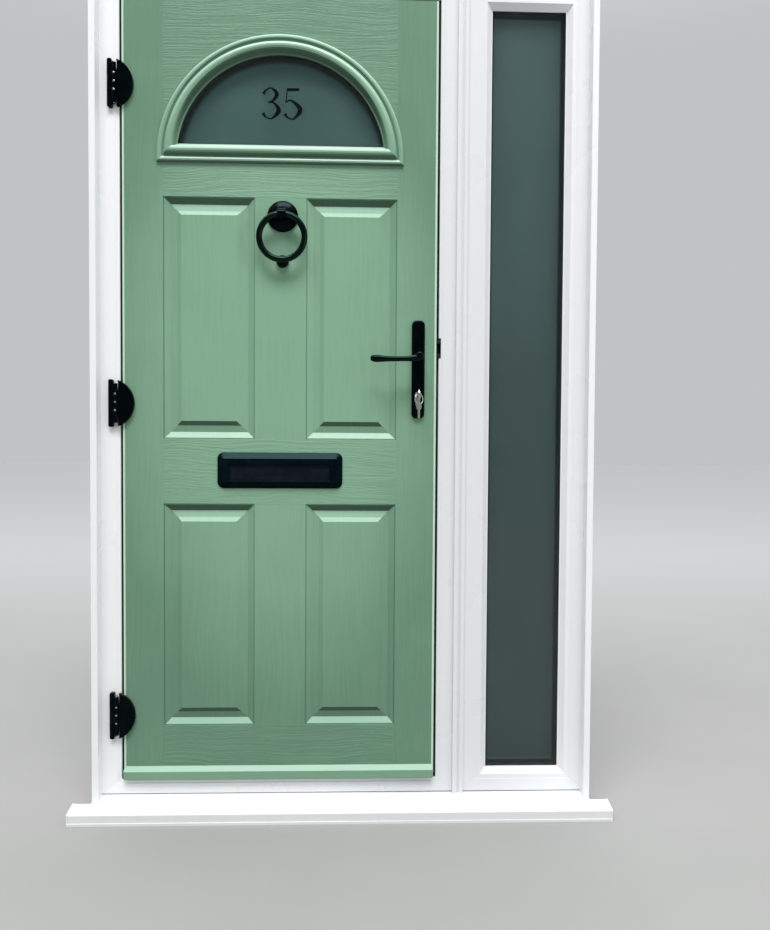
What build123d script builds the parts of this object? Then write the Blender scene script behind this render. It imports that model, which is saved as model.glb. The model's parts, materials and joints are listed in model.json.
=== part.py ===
from build123d import *
from math import cos, radians, sin
import os

# Door leaf, seen from outdoors. Outdoors is -Y, up is +Z, and all sizes are in millimetres.
leaf_width = 766.0
leaf_height = 1909.0
leaf_thickness = 44.0
leaf_proud = 2.0
leaf_gap = 6.0
threshold_gap = 4.0
leaf_edge_round = 2.5
edge_groove_inset = 5.5
edge_groove_width = 2.0
edge_groove_depth = 1.2

# Frame profiles
frame_depth = 70.0
frame_face = 49.0
threshold_face = 37.0
stop_height = 18.0
stop_seat = 4.0
frame_edge_round = 2.5
frame_set_back = 1.0
frame_set_back_width = 9.0
sill_shadow_gap = 3.0
sill_shadow_depth = 6.0
fixing_hole_radius = 4.25
fixing_hole_depth = 38.0
fixing_pitch = 500.0

# Sidelight
sidelight_width = 217.5
sidelight_bottom_face = 41.5
bead_width = 17.5
bead_flat = 3.0
bead_lip = 2.0
bead_lip_depth = 3.5
pane_thickness = 4.0
cavity_width = 16.0
spacer_width = 8.0
gasket_thickness = 3.0
gasket_width = 9.0
glass_edge_gap = 5.0
packer_length = 60.0
packer_spread = 60.0
spacer_inset = 2.0
gasket_set_back = 0.3

# Coupler between the two frames
coupler_web = 12.0
coupler_cap_width = 27.0
coupler_cap_proud = 7.0
coupler_groove = 9.0
coupler_groove_depth = 4.5
coupler_rear_cap = 3.0

# Cover trims at both sides
trim_width = 16.0
trim_proud = 32.0
trim_leg_depth = 14.0
trim_cover_left = 1.5
trim_cover_right = 11.5
trim_round = 2.0

# Sill
sill_height = 40.0
sill_nose_height = 27.0
sill_projection = 80.0
sill_seat_margin = 2.0
sill_horn = 44.0
sill_horn_depth = 44.0
sill_nose_round = 4.0
sill_lip_height = 6.0
sill_lip_proud = 1.5
sill_groove_width = 4.0
sill_groove_depth = 3.0
sill_groove_inset = 10.0
end_cap_thickness = 5.0
end_cap_rim = 1.0

# Gaskets on the door frame
stop_gasket_base = 1.5
stop_gasket_lip = 4.0
leaf_gasket_gap = 0.3
rebate_gasket_thickness = 1.5
rebate_gasket_front = 6.0
rebate_gasket_back = 28.0

# Raised and fielded panels
panel_width = 220.0
panel_inner_gap = 127.0
upper_panel_bottom = 842.0
upper_panel_gap = 82.0
lower_panel_bottom = 133.0
lower_panel_height = 548.0
panel_ledge = 2.0
panel_ledge_depth = 2.0
panel_moulding = 14.0
panel_depth = 10.0
panel_bevel_foot = 16.0
panel_knee_depth = 7.0
panel_bevel_rise = 11.0
panel_field_depth = 1.0

# Fanlight cassette
fan_radius = 299.0
fan_foot = 10.0
fan_foot_drop = 399.0
fan_trim_width = 46.0
fan_glass_bite = 13.0
fan_seat = 27.5
fan_cut_gap = 0.5
fan_glass_depth = 10.0
fan_gasket = 3.0
fan_crest_proud = 14.0

# Weather bar
weather_bar_height = 31.0
weather_bar_front = 21.0
weather_bar_proud = 12.0
weather_bar_round = 2.0
weather_bar_inset = 2.0

# Letter plate
letter_height = 764.6
letter_plate_width = 306.0
letter_plate_height = 88.0
letter_plate_corner = 16.0
letter_plate_base = 2.0
letter_plate_proud = 12.0
letter_bevel_x = 14.0
letter_bevel_z = 15.0
letter_inner_corner = 4.0
letter_opening_width = 248.0
letter_opening_height = 42.0
letter_opening_drop = 5.0
flap_clearance = 0.8
flap_thickness = 3.0
flap_set_back = 6.0
flap_pivot_drop = 4.0
flap_pin_radius = 1.5
flap_pin_length = 4.0
pin_clearance = 0.1
sleeve_side_margin = 4.0
sleeve_edge_margin = 1.0
sleeve_wall = 1.5
sleeve_gap = 1.0
inner_plate_proud = 8.0
inner_flap_overlap = 6.0
inner_flap_gap = 0.3
inner_ear_width = 6.0
inner_ear_radius = 4.5
letter_ear_wall = 1.5

# Ring knocker
knocker_drop = 45.0
knocker_shift = 5.3
rose_radius = 37.5
rose_rim = 4.0
rose_proud = 14.0
rose_neck_width = 20.0
rose_neck_radius = 12.5
rose_hole_radius = 8.9
ring_radius = 54.5
ring_tube_radius = 7.5
ring_standoff = 26.0
striker_radius = 15.0
striker_gap = 0.3
striker_rim = 8.0
dome_share = 0.6

# Lever handle
handle_backset = 45.0
spindle_height = 1043.0
handle_plate_length = 240.0
handle_plate_width = 32.0
handle_plate_thickness = 9.0
handle_plate_corner = 12.0
handle_plate_round = 4.0
handle_plate_drop = 28.5
handle_bolt_pitch = 215.0
handle_bolt_radius = 2.5
handle_bolt_bite = 5.0
handle_bolt_head = 3.0
handle_bolt_head_radius = 4.5
handle_bolt_gap = 0.1
hub_radius = 9.5
hub_start = 0.5
hub_collar_gap = 0.5
hub_nose = 6.5
hub_round = 3.0
hub_shaft_radius = 8.0
shaft_clearance = 0.2
lever_standoff = 50.0
lever_length = 118.0
spindle_side = 8.0
lever_socket = 22.0

# Lock and cylinder
lock_centres = 92.0
lock_case_depth = 70.0
lock_case_thickness = 16.0
lock_case_above = 60.0
lock_case_below = 130.0
lock_clearance = 0.5
faceplate_width = 20.0
faceplate_thickness = 3.0
faceplate_length = 420.0
follower_radius = 11.0
follower_trunnion = 9.0
lock_wall = 1.8
latch_rise = 25.0
latch_height = 22.0
latch_thickness = 12.0
latch_reach = 10.0
latch_length = 43.0
latch_nose = 5.0
deadbolt_drop = 62.0
deadbolt_height = 34.0
deadbolt_throw = 20.0
deadbolt_length = 48.0
deadbolt_set_back = 0.5
bolt_clearance = 0.4
cylinder_radius = 8.5
cylinder_web = 10.0
cylinder_drop = 24.5
cylinder_proud = 3.0
plug_radius = 6.5
plug_clearance = 0.1
cam_width = 10.0
cam_reach = 12.0
cam_gap = 0.5
cam_thickness = 5.0
keyway_width = 2.6
keyway_height = 9.0
key_thickness = 2.4
key_blade_length = 26.0
key_bow_radius = 15.0
key_bow_offset = 20.0
key_hole_radius = 5.0
key_hole_rise = 5.0
key_hole_forward = 5.0
key_clearance = 0.1
keyring_radius = 13.0
keyring_wire = 1.1
keyring_turn = 40.0
keyring_slack = 1.4
spare_key_slack = 0.4
spare_bow_radius = 8.0
spare_hole_radius = 3.0
spare_hole_rise = 4.0
spare_blade_length = 28.0
spare_blade_width = 6.0
spare_key_thickness = 1.8
turn_gap = 0.3
turn_collar = 3.0
turn_length = 19.0
turn_width = 24.0
turn_thickness = 8.0

# Keeps on the lock-side jamb
latch_keep_height = 50.0
latch_keep_depth = 32.0
keep_recess = 5.5
keep_lip = 3.5
keep_wall = 1.0
deadbolt_keep_height = 70.0
deadbolt_keep_thickness = 2.0

# Flag hinges
top_hinge_drop = 215.0
bottom_hinge_height = 159.0
hinge_axis_inset = 15.0
hinge_axis_proud = 7.0
hinge_knuckle_radius = 5.0
hinge_knuckle_gap = 0.3
hinge_leaf_knuckle = 62.0
hinge_knuckle_inset = 10.0
hinge_bar_width = 11.5
hinge_bar_height = 115.6
hinge_bar_proud = 10.0
hinge_bar_round = 4.0
hinge_plate_height = 112.0
hinge_plate_reach = 38.7
hinge_plate_start = 6.0
hinge_plate_proud = 7.0
hinge_rim_width = 4.0
hinge_rim_proud = 9.0
hinge_pin_radius = 3.0
hinge_swing_gap = 0.6

# Places that follow from the sizes above
door_frame_width = leaf_width + 2 * (leaf_gap + frame_face)
sidelight_frame_width = sidelight_width + 2 * frame_face
trim_out_left = trim_width - trim_cover_left
trim_out_right = trim_width - trim_cover_right
overall_width = trim_out_left + door_frame_width + coupler_web + sidelight_frame_width + trim_out_right
left_end = -overall_width / 2
right_end = overall_width / 2
door_frame_left = left_end + trim_out_left
door_frame_right = door_frame_left + door_frame_width
leaf_x = (door_frame_left + door_frame_right) / 2
leaf_left = leaf_x - leaf_width / 2
leaf_right = leaf_x + leaf_width / 2
sidelight_left = door_frame_right + coupler_web
sidelight_right = sidelight_left + sidelight_frame_width
sidelight_x = (sidelight_left + sidelight_right) / 2
rebate_left = leaf_left - leaf_gap
rebate_right = leaf_right + leaf_gap
threshold_top = sill_height + threshold_face
leaf_bottom = threshold_top + threshold_gap
leaf_top = leaf_bottom + leaf_height
head_bottom = leaf_top + leaf_gap
frame_top = head_bottom + frame_face
sidelight_bottom = sill_height + sidelight_bottom_face
leaf_front = -leaf_proud
leaf_back = leaf_front + leaf_thickness
leaf_middle = (leaf_front + leaf_back) / 2
stop_front = leaf_back + stop_seat
fan_foot_height = leaf_height - fan_foot_drop
upper_panel_height = fan_foot_height - upper_panel_gap - upper_panel_bottom
knocker_height = upper_panel_bottom + upper_panel_height - knocker_drop
top_hinge_height = leaf_height - top_hinge_drop
hinge_heights = {
    "top": top_hinge_height,
    "middle": (top_hinge_height + bottom_hinge_height) / 2,
    "bottom": bottom_hinge_height,
}
sleeve_width = letter_opening_width + 2 * sleeve_side_margin
sleeve_height = letter_opening_height + 2 * sleeve_edge_margin


# A plane parallel to the door's face at depth y. Its x is world X, its y is world Z,
# and a positive extrusion goes outdoors.
def facing(y):
    return Plane.XZ.offset(-y)


# A block given by its two corners, cut or added in the part that is being built.
def block(low, high, mode=Mode.ADD):
    with BuildSketch(facing(high[1])) as outline:
        with Locations(((low[0] + high[0]) / 2, (low[2] + high[2]) / 2)):
            Rectangle(high[0] - low[0], high[2] - low[2])
    extrude(outline.sketch, amount=high[1] - low[1], mode=mode)


# A rectangular ring around an opening, from depth front to depth back.
def ring(left, right, bottom, top, width, front, back, mode=Mode.ADD):
    with BuildSketch(facing(back)) as outline:
        with Locations(((left + right) / 2, (bottom + top) / 2)):
            Rectangle(right - left, top - bottom)
            Rectangle(right - left - 2 * width, top - bottom - 2 * width, mode=Mode.SUBTRACT)
    extrude(outline.sketch, amount=back - front, mode=mode)


# A round bar or hole along X, Y or Z, from one station to another.
def rod(axis, centre, start, end, radius, mode=Mode.ADD):
    if axis == "x":
        plane = Plane((start, centre[0], centre[1]), x_dir=(0, 1, 0), z_dir=(1, 0, 0))
    elif axis == "y":
        plane = Plane((centre[0], start, centre[1]), x_dir=(1, 0, 0), z_dir=(0, 1, 0))
    else:
        plane = Plane((centre[0], centre[1], start), x_dir=(1, 0, 0), z_dir=(0, 0, 1))
    with BuildSketch(plane) as outline:
        Circle(radius)
    extrude(outline.sketch, amount=end - start, mode=mode)


def save(builder, name):
    builder.part.label = name
    export_step(builder.part, "parts/" + name + ".step")


os.makedirs("parts", exist_ok=True)


# Sill: an extruded section with a sloping top, a rounded nose with a lower lip, a flat
# seat under the frames and notched ends, so that only the horns pass the side trims.
def sill_outline(rim=0.0):
    nose = -sill_projection + sill_lip_proud - rim
    return [
        (frame_depth, 0),
        (frame_depth, sill_height + rim),
        (-sill_seat_margin, sill_height + rim),
        (nose, sill_nose_height + rim),
        (nose, sill_lip_height),
        (-sill_projection - rim, sill_lip_height),
        (-sill_projection - rim, 0),
    ]


sill_half = overall_width / 2 + sill_horn - end_cap_thickness
with BuildPart() as sill:
    with BuildSketch(Plane.YZ.offset(-sill_half)) as sill_section:
        Polygon(*sill_outline(), align=None)
        nose_corner = sill_section.vertices().sort_by(Axis.X)[2:4].sort_by(Axis.Y)[-1]
        fillet(nose_corner, sill_nose_round)
        with Locations((-sill_projection + sill_groove_inset, 0)):
            Rectangle(sill_groove_width, 2 * sill_groove_depth, mode=Mode.SUBTRACT)
    extrude(amount=2 * sill_half)
    notch_front = -sill_projection + sill_horn_depth
    block((-sill_half - 1, notch_front, -1), (left_end, frame_depth + 1, sill_height + 1), Mode.SUBTRACT)
    block((right_end, notch_front, -1), (sill_half + 1, frame_depth + 1, sill_height + 1), Mode.SUBTRACT)
save(sill, "sill")

# End caps: thin plates with a small rim that close both horns.
with BuildPart() as sill_end_caps:
    for start in (-sill_half - end_cap_thickness, sill_half):
        with BuildSketch(Plane.YZ.offset(start)) as cap_section:
            Polygon(*sill_outline(end_cap_rim), align=None)
            cap_corner = cap_section.vertices().sort_by(Axis.X)[2:4].sort_by(Axis.Y)[-1]
            fillet(cap_corner, sill_nose_round)
            with Locations((notch_front, 0)):
                Rectangle(
                    frame_depth * 2, sill_height * 3, align=(Align.MIN, Align.CENTER), mode=Mode.SUBTRACT
                )
        extrude(amount=end_cap_thickness)
save(sill_end_caps, "sill_end_caps")


# Everything that stands on the sill in front of the frames is cut to its slope.
def cut_to_sill(left, right):
    with BuildSketch(Plane.YZ.offset(left)) as below:
        Polygon(*sill_outline(), align=None)
    extrude(below.sketch, amount=right - left, mode=Mode.SUBTRACT)


# Welded frame profile round an opening: the front part and the stop behind it, with a
# rounded front edge, a shallow set-back band beside it and a shadow rebate at the sill.
def welded_frame(left, right, inner_left, inner_right, inner_bottom, inner_top):
    block((left, 0, sill_height), (right, frame_depth, frame_top))
    block((inner_left, -1, inner_bottom), (inner_right, stop_front, inner_top), Mode.SUBTRACT)
    block(
        (inner_left + stop_height, stop_front - 1, inner_bottom + stop_height),
        (inner_right - stop_height, frame_depth + 1, inner_top - stop_height),
        Mode.SUBTRACT,
    )
    band = frame_set_back_width
    ring(
        inner_left - band,
        inner_right + band,
        inner_bottom - band,
        inner_top + band,
        band,
        -1,
        frame_set_back,
        Mode.SUBTRACT,
    )
    block(
        (left - 1, -1, sill_height - 1),
        (right + 1, sill_shadow_depth, sill_height + sill_shadow_gap),
        Mode.SUBTRACT,
    )


# Keep and bolt places, shared by the jamb, the keeps and the lock.
spindle_x = leaf_right - handle_backset
spindle_z = leaf_bottom + spindle_height
cylinder_z = spindle_z - lock_centres
latch_z = spindle_z + latch_rise
deadbolt_z = spindle_z - deadbolt_drop
first_fixing_z = (sill_height + frame_top) / 2 - 1.5 * fixing_pitch

# Door frame: jambs, head and threshold welded at the corners, with the fixing holes of
# the hinge-side jamb and the recesses for both keeps in the lock-side jamb.
with BuildPart() as door_frame:
    welded_frame(door_frame_left, door_frame_right, rebate_left, rebate_right, threshold_top, head_bottom)
    front_edges = (
        door_frame.edges()
        .filter_by(lambda e: abs(e.center().Y - frame_set_back) < 0.01)
        .filter_by(lambda e: rebate_left - 0.1 < e.center().X < rebate_right + 0.1)
        .filter_by(lambda e: threshold_top - 0.1 < e.center().Z < head_bottom + 0.1)
    )
    fillet(front_edges, frame_edge_round)
    for index in range(4):
        rod(
            "x",
            (fixing_hole_depth, first_fixing_z + index * fixing_pitch),
            door_frame_left - 1,
            rebate_left + 1,
            fixing_hole_radius,
            Mode.SUBTRACT,
        )
    block(
        (rebate_right - 1, -1, latch_z - latch_keep_height / 2),
        (rebate_right + keep_recess, latch_keep_depth, latch_z + latch_keep_height / 2),
        Mode.SUBTRACT,
    )
    block(
        (
            rebate_right - 1,
            leaf_middle - faceplate_width / 2,
            deadbolt_z - deadbolt_keep_height / 2,
        ),
        (
            rebate_right + deadbolt_keep_thickness,
            leaf_middle + faceplate_width / 2,
            deadbolt_z + deadbolt_keep_height / 2,
        ),
        Mode.SUBTRACT,
    )
    block(
        (
            rebate_right,
            leaf_middle - latch_thickness / 2 - 2 * bolt_clearance,
            deadbolt_z - deadbolt_height / 2 - 2 * bolt_clearance,
        ),
        (
            leaf_right + deadbolt_throw + 2 * bolt_clearance,
            leaf_middle + latch_thickness / 2 + 2 * bolt_clearance,
            deadbolt_z + deadbolt_height / 2 + 2 * bolt_clearance,
        ),
        Mode.SUBTRACT,
    )
save(door_frame, "door_frame")

# Sidelight frame: the same profile with a deeper bottom face.
sight_left = sidelight_left + frame_face
sight_right = sidelight_right - frame_face
with BuildPart() as sidelight_frame:
    welded_frame(sidelight_left, sidelight_right, sight_left, sight_right, sidelight_bottom, head_bottom)
save(sidelight_frame, "sidelight_frame")

# Coupler: an H section that joins both frames, with two ridges and a V groove in front.
coupler_x = door_frame_right + coupler_web / 2
with BuildPart() as frame_coupler:
    with BuildSketch(Plane.XY.offset(sill_nose_height)):
        with BuildLine():
            Polyline(
                (coupler_x - coupler_cap_width / 2, 0),
                (coupler_x - coupler_cap_width / 2, 1 - coupler_cap_proud),
                (coupler_x - coupler_cap_width / 2 + 1, -coupler_cap_proud),
                (coupler_x - coupler_groove / 2, -coupler_cap_proud),
                (coupler_x, coupler_groove_depth - coupler_cap_proud),
                (coupler_x + coupler_groove / 2, -coupler_cap_proud),
                (coupler_x + coupler_cap_width / 2 - 1, -coupler_cap_proud),
                (coupler_x + coupler_cap_width / 2, 1 - coupler_cap_proud),
                (coupler_x + coupler_cap_width / 2, 0),
                (coupler_x + coupler_web / 2, 0),
                (coupler_x + coupler_web / 2, frame_depth),
                (coupler_x + coupler_cap_width / 2, frame_depth),
                (coupler_x + coupler_cap_width / 2, frame_depth + coupler_rear_cap),
                (coupler_x - coupler_cap_width / 2, frame_depth + coupler_rear_cap),
                (coupler_x - coupler_cap_width / 2, frame_depth),
                (coupler_x - coupler_web / 2, frame_depth),
                (coupler_x - coupler_web / 2, 0),
                close=True,
            )
        make_face()
    extrude(amount=frame_top - sill_nose_height)
    cut_to_sill(coupler_x - coupler_cap_width, coupler_x + coupler_cap_width)
save(frame_coupler, "frame_coupler")

# Cover trims: a block planted on the frame's face with a leg beside the frame.
for name, outer, toward, leg in (
    ("cover_trim_left", left_end, 1, trim_out_left),
    ("cover_trim_right", right_end, -1, trim_out_right),
):
    with BuildPart() as cover_trim:
        with BuildSketch(Plane.XY.offset(sill_nose_height)) as trim_section:
            with BuildLine():
                Polyline(
                    (outer, trim_leg_depth),
                    (outer, -trim_proud),
                    (outer + toward * trim_width, -trim_proud),
                    (outer + toward * trim_width, 0),
                    (outer + toward * leg, 0),
                    (outer + toward * leg, trim_leg_depth),
                    close=True,
                )
            make_face()
            fillet(trim_section.vertices().group_by(Axis.Y)[0], trim_round)
        extrude(amount=frame_top - sill_nose_height)
        cut_to_sill(left_end - 1, right_end + 1)
    save(cover_trim, name)

# Stop gasket: a base strip on the frame's stop with a narrower lip towards the leaf.
gasket_inset = (stop_height - leaf_gap - gasket_width) / 2
with BuildPart() as stop_gasket:
    edge = leaf_gap + gasket_inset
    ring(
        rebate_left + edge,
        rebate_right - edge,
        threshold_top + edge,
        head_bottom - edge,
        gasket_width,
        stop_front - stop_gasket_base,
        stop_front,
    )
    inset = edge + (gasket_width - stop_gasket_lip) / 2
    ring(
        rebate_left + inset,
        rebate_right - inset,
        threshold_top + inset,
        head_bottom - inset,
        stop_gasket_lip,
        leaf_back + leaf_gasket_gap,
        stop_front,
    )
save(stop_gasket, "stop_gasket")

# Rebate gasket: the black strip seen in the gap round the leaf, cut out at the keeps.
with BuildPart() as rebate_gasket:
    ring(
        rebate_left,
        rebate_right,
        threshold_top,
        head_bottom,
        rebate_gasket_thickness,
        rebate_gasket_front,
        rebate_gasket_back,
    )
    for centre, height in ((latch_z, latch_keep_height), (deadbolt_z, deadbolt_keep_height)):
        block(
            (rebate_right - 2 * leaf_gap, rebate_gasket_front - 1, centre - height / 2),
            (rebate_right + 1, rebate_gasket_back + 1, centre + height / 2),
            Mode.SUBTRACT,
        )
save(rebate_gasket, "rebate_gasket")

# Latch keep: a block in the jamb's edge with a slot that is open outdoors.
with BuildPart() as latch_keep:
    block(
        (rebate_right - keep_lip, frame_set_back, latch_z - latch_keep_height / 2),
        (rebate_right + keep_recess, latch_keep_depth, latch_z + latch_keep_height / 2),
    )
    slot = latch_height / 2 + 3 * bolt_clearance
    block(
        (rebate_right - keep_lip - 1, frame_set_back - 1, latch_z - slot),
        (rebate_right + keep_recess - keep_wall, latch_keep_depth - keep_wall, latch_z + slot),
        Mode.SUBTRACT,
    )
save(latch_keep, "latch_keep")

# Deadbolt keep: a plate let into the jamb with a slot for the bolt.
with BuildPart() as deadbolt_keep:
    block(
        (rebate_right, leaf_middle - faceplate_width / 2, deadbolt_z - deadbolt_keep_height / 2),
        (
            rebate_right + deadbolt_keep_thickness,
            leaf_middle + faceplate_width / 2,
            deadbolt_z + deadbolt_keep_height / 2,
        ),
    )
    half_slot = (latch_thickness / 2 + 2 * bolt_clearance, deadbolt_height / 2 + 2 * bolt_clearance)
    block(
        (rebate_right - 1, leaf_middle - half_slot[0], deadbolt_z - half_slot[1]),
        (rebate_right + deadbolt_keep_thickness + 1, leaf_middle + half_slot[0], deadbolt_z + half_slot[1]),
        Mode.SUBTRACT,
    )
save(deadbolt_keep, "deadbolt_keep")

# Sidelight glass unit: two panes and the spacer between their edges, on setting blocks.
pane_back = stop_front - gasket_thickness
pane_front = pane_back - 2 * pane_thickness - cavity_width
pane_left = sight_left + glass_edge_gap
pane_right = sight_right - glass_edge_gap
pane_bottom = sidelight_bottom + glass_edge_gap
pane_top = head_bottom - glass_edge_gap
with BuildPart() as sidelight_outer_pane:
    block((pane_left, pane_front, pane_bottom), (pane_right, pane_front + pane_thickness, pane_top))
save(sidelight_outer_pane, "sidelight_outer_pane")

with BuildPart() as sidelight_inner_pane:
    block((pane_left, pane_back - pane_thickness, pane_bottom), (pane_right, pane_back, pane_top))
save(sidelight_inner_pane, "sidelight_inner_pane")

with BuildPart() as sidelight_spacer:
    ring(
        pane_left + spacer_inset,
        pane_right - spacer_inset,
        pane_bottom + spacer_inset,
        pane_top - spacer_inset,
        spacer_width,
        pane_front + pane_thickness,
        pane_back - pane_thickness,
    )
save(sidelight_spacer, "sidelight_spacer")

with BuildPart() as sidelight_gaskets:
    for front, back in ((pane_front - gasket_thickness, pane_front), (pane_back, stop_front)):
        ring(
            sight_left + bead_width - gasket_set_back - gasket_width,
            sight_right - bead_width + gasket_set_back + gasket_width,
            sidelight_bottom + bead_width - gasket_set_back - gasket_width,
            head_bottom - bead_width + gasket_set_back + gasket_width,
            gasket_width,
            front,
            back,
        )
save(sidelight_gaskets, "sidelight_gaskets")

with BuildPart() as sidelight_setting_blocks:
    for side in (-1, 1):
        centre = sidelight_x + side * packer_spread
        block(
            (centre - packer_length / 2, pane_front, sidelight_bottom),
            (centre + packer_length / 2, pane_back, pane_bottom),
        )
save(sidelight_setting_blocks, "sidelight_setting_blocks")

# Glazing beads: one sloping section along each side of the sidelight, mitred at the corners.
# The section is drawn as distance from the frame's inner face and depth behind the face.
bead_back = pane_front - gasket_thickness
bead_section = [
    (0, bead_back),
    (0, frame_set_back),
    (bead_flat, frame_set_back),
    (bead_width - bead_lip, bead_back - bead_lip_depth),
    (bead_width, bead_back - bead_lip_depth),
    (bead_width, bead_back),
]
low_left = (sight_left, sidelight_bottom)
low_right = (sight_right, sidelight_bottom)
high_right = (sight_right, head_bottom)
high_left = (sight_left, head_bottom)
for name, start, end, across in (
    ("glazing_bead_bottom", low_left, low_right, (0, 1)),
    ("glazing_bead_right", low_right, high_right, (-1, 0)),
    ("glazing_bead_top", high_right, high_left, (0, -1)),
    ("glazing_bead_left", high_left, low_left, (1, 0)),
):
    along = ((end[0] - start[0]), (end[1] - start[1]))
    length = abs(along[0] + along[1])
    run = (along[0] / length, along[1] / length)
    section_plane = Plane((start[0], 0, start[1]), x_dir=(across[0], 0, across[1]), z_dir=(run[0], 0, run[1]))
    depth_sign = section_plane.y_dir.Y
    with BuildPart() as glazing_bead:
        with BuildSketch(section_plane):
            Polygon(*[(u, depth_sign * y) for u, y in bead_section], align=None)
        extrude(amount=length)
        with BuildSketch(facing(frame_depth)):
            inner = [
                (
                    point[0] + bead_width * (run[0] * turn + across[0]),
                    point[1] + bead_width * (run[1] * turn + across[1]),
                )
                for point, turn in ((end, -1), (start, 1))
            ]
            Polygon(start, end, *inner, align=None)
        extrude(amount=2 * frame_depth, mode=Mode.INTERSECT)
    save(glazing_bead, name)

# Flag hinges: the frame half is a bar with two knuckles, the leaf half a D-shaped plate
# with a raised rim and the middle knuckle, and a pin runs through all three knuckles.
axis_x = leaf_left - hinge_axis_inset
axis_y = leaf_front - hinge_axis_proud
knuckle_reach = hinge_knuckle_radius + hinge_swing_gap
for place, height in hinge_heights.items():
    z = leaf_bottom + height
    half_leaf = hinge_leaf_knuckle / 2
    with BuildPart() as hinge_frame_half:
        with BuildSketch(facing(0)):
            with Locations((axis_x - knuckle_reach - hinge_bar_width / 2, z)):
                RectangleRounded(hinge_bar_width, hinge_bar_height, hinge_bar_round)
        extrude(amount=hinge_bar_proud)
        for low, high in (
            (z - hinge_bar_height / 2 + hinge_knuckle_inset, z - half_leaf - hinge_knuckle_gap),
            (z + half_leaf + hinge_knuckle_gap, z + hinge_bar_height / 2 - hinge_knuckle_inset),
        ):
            block((axis_x - knuckle_reach - 1, axis_y, low), (axis_x, 0, high))
            rod("z", (axis_x, axis_y), low, high, hinge_knuckle_radius)
            rod("z", (axis_x, axis_y), low - 1, high + 1, hinge_pin_radius, Mode.SUBTRACT)
    save(hinge_frame_half, "hinge_frame_half_" + place)

    with BuildPart() as hinge_leaf_half:
        plate_left = axis_x + hinge_plate_start
        plate_right = plate_left + hinge_plate_reach
        half_height = hinge_plate_height / 2
        with BuildSketch(facing(leaf_front)):
            with BuildLine():
                Line((plate_left, z - half_height), (plate_left, z + half_height))
                ThreePointArc((plate_left, z + half_height), (plate_right, z), (plate_left, z - half_height))
            make_face()
        extrude(amount=hinge_plate_proud)
        with BuildSketch(facing(leaf_front - hinge_plate_proud)):
            with BuildLine():
                Line((plate_left, z - half_height), (plate_left, z + half_height))
                ThreePointArc((plate_left, z + half_height), (plate_right, z), (plate_left, z - half_height))
            make_face()
            inner_half = half_height - hinge_rim_width
            with BuildLine():
                Line((plate_left - 1, z - inner_half), (plate_left - 1, z + inner_half))
                ThreePointArc(
                    (plate_left - 1, z + inner_half),
                    (plate_right - hinge_rim_width, z),
                    (plate_left - 1, z - inner_half),
                )
            make_face(mode=Mode.SUBTRACT)
        extrude(amount=hinge_rim_proud - hinge_plate_proud)
        block(
            (axis_x, axis_y, z - half_leaf),
            (plate_left + hinge_rim_width, leaf_front, z + half_leaf),
        )
        rod("z", (axis_x, axis_y), z - half_leaf, z + half_leaf, hinge_knuckle_radius)
        rod(
            "z",
            (axis_x, axis_y),
            z - half_leaf - 1,
            z + half_leaf + 1,
            hinge_pin_radius + pin_clearance,
            Mode.SUBTRACT,
        )
    save(hinge_leaf_half, "hinge_leaf_half_" + place)

with BuildPart() as hinge_pins:
    for height in hinge_heights.values():
        z = leaf_bottom + height
        half_pin = hinge_bar_height / 2 - hinge_knuckle_inset
        rod("z", (axis_x, axis_y), z - half_pin, z + half_pin, hinge_pin_radius)
save(hinge_pins, "hinge_pins")


# Outline of the fanlight, moved inwards by an amount: a circle cut by a level base line.
fan_z = leaf_bottom + fan_foot_height + fan_foot
fan_base = leaf_bottom + fan_foot_height
fan_glass_inset = fan_trim_width - fan_glass_bite


def fan_plate(inset, front, back, mode=Mode.ADD):
    with BuildSketch(facing(back)) as outline:
        with Locations((leaf_x, fan_z)):
            Circle(fan_radius - inset)
        with Locations((leaf_x, fan_base + inset)):
            Rectangle(2 * fan_radius, 2 * fan_radius, align=(Align.CENTER, Align.MIN), mode=Mode.INTERSECT)
    extrude(outline.sketch, amount=back - front, mode=mode)


# Profile of a double-pierced cylinder hole: a circle with a web below it.
def cylinder_shape(margin, front, back, mode=Mode.ADD):
    with BuildSketch(facing(back)) as outline:
        with Locations((spindle_x, cylinder_z)):
            Circle(cylinder_radius + margin)
        with Locations((spindle_x, cylinder_z - cylinder_drop / 2)):
            Rectangle(cylinder_web + 2 * margin, cylinder_drop)
        with Locations((spindle_x, cylinder_z - cylinder_drop)):
            Circle(cylinder_web / 2 + margin)
    extrude(outline.sketch, amount=back - front, mode=mode)


# One raised and fielded panel in a face of the slab: a ledge, a moulding down to the
# panel's foot, a gentle and then a steep bevel, and the field. Depths count inwards from
# the face, and side is 1 for the outdoor face and -1 for the indoor face.
def panel(centre_x, centre_z, height, face, side):
    def rectangle(inset, depth):
        with BuildSketch(facing(face + side * depth)) as outline:
            with Locations((centre_x, centre_z)):
                Rectangle(panel_width - 2 * inset, height - 2 * inset)
        return outline.sketch

    extrude(rectangle(0, 0), amount=-side * panel_ledge_depth, mode=Mode.SUBTRACT)
    foot = panel_ledge + panel_moulding
    knee = foot + panel_bevel_foot
    crest = knee + panel_bevel_rise
    loft([rectangle(panel_ledge, panel_ledge_depth), rectangle(foot, panel_depth)], mode=Mode.SUBTRACT)
    loft([rectangle(foot, panel_depth), rectangle(knee, panel_knee_depth)])
    loft([rectangle(knee, panel_knee_depth), rectangle(crest, panel_field_depth)])


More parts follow.
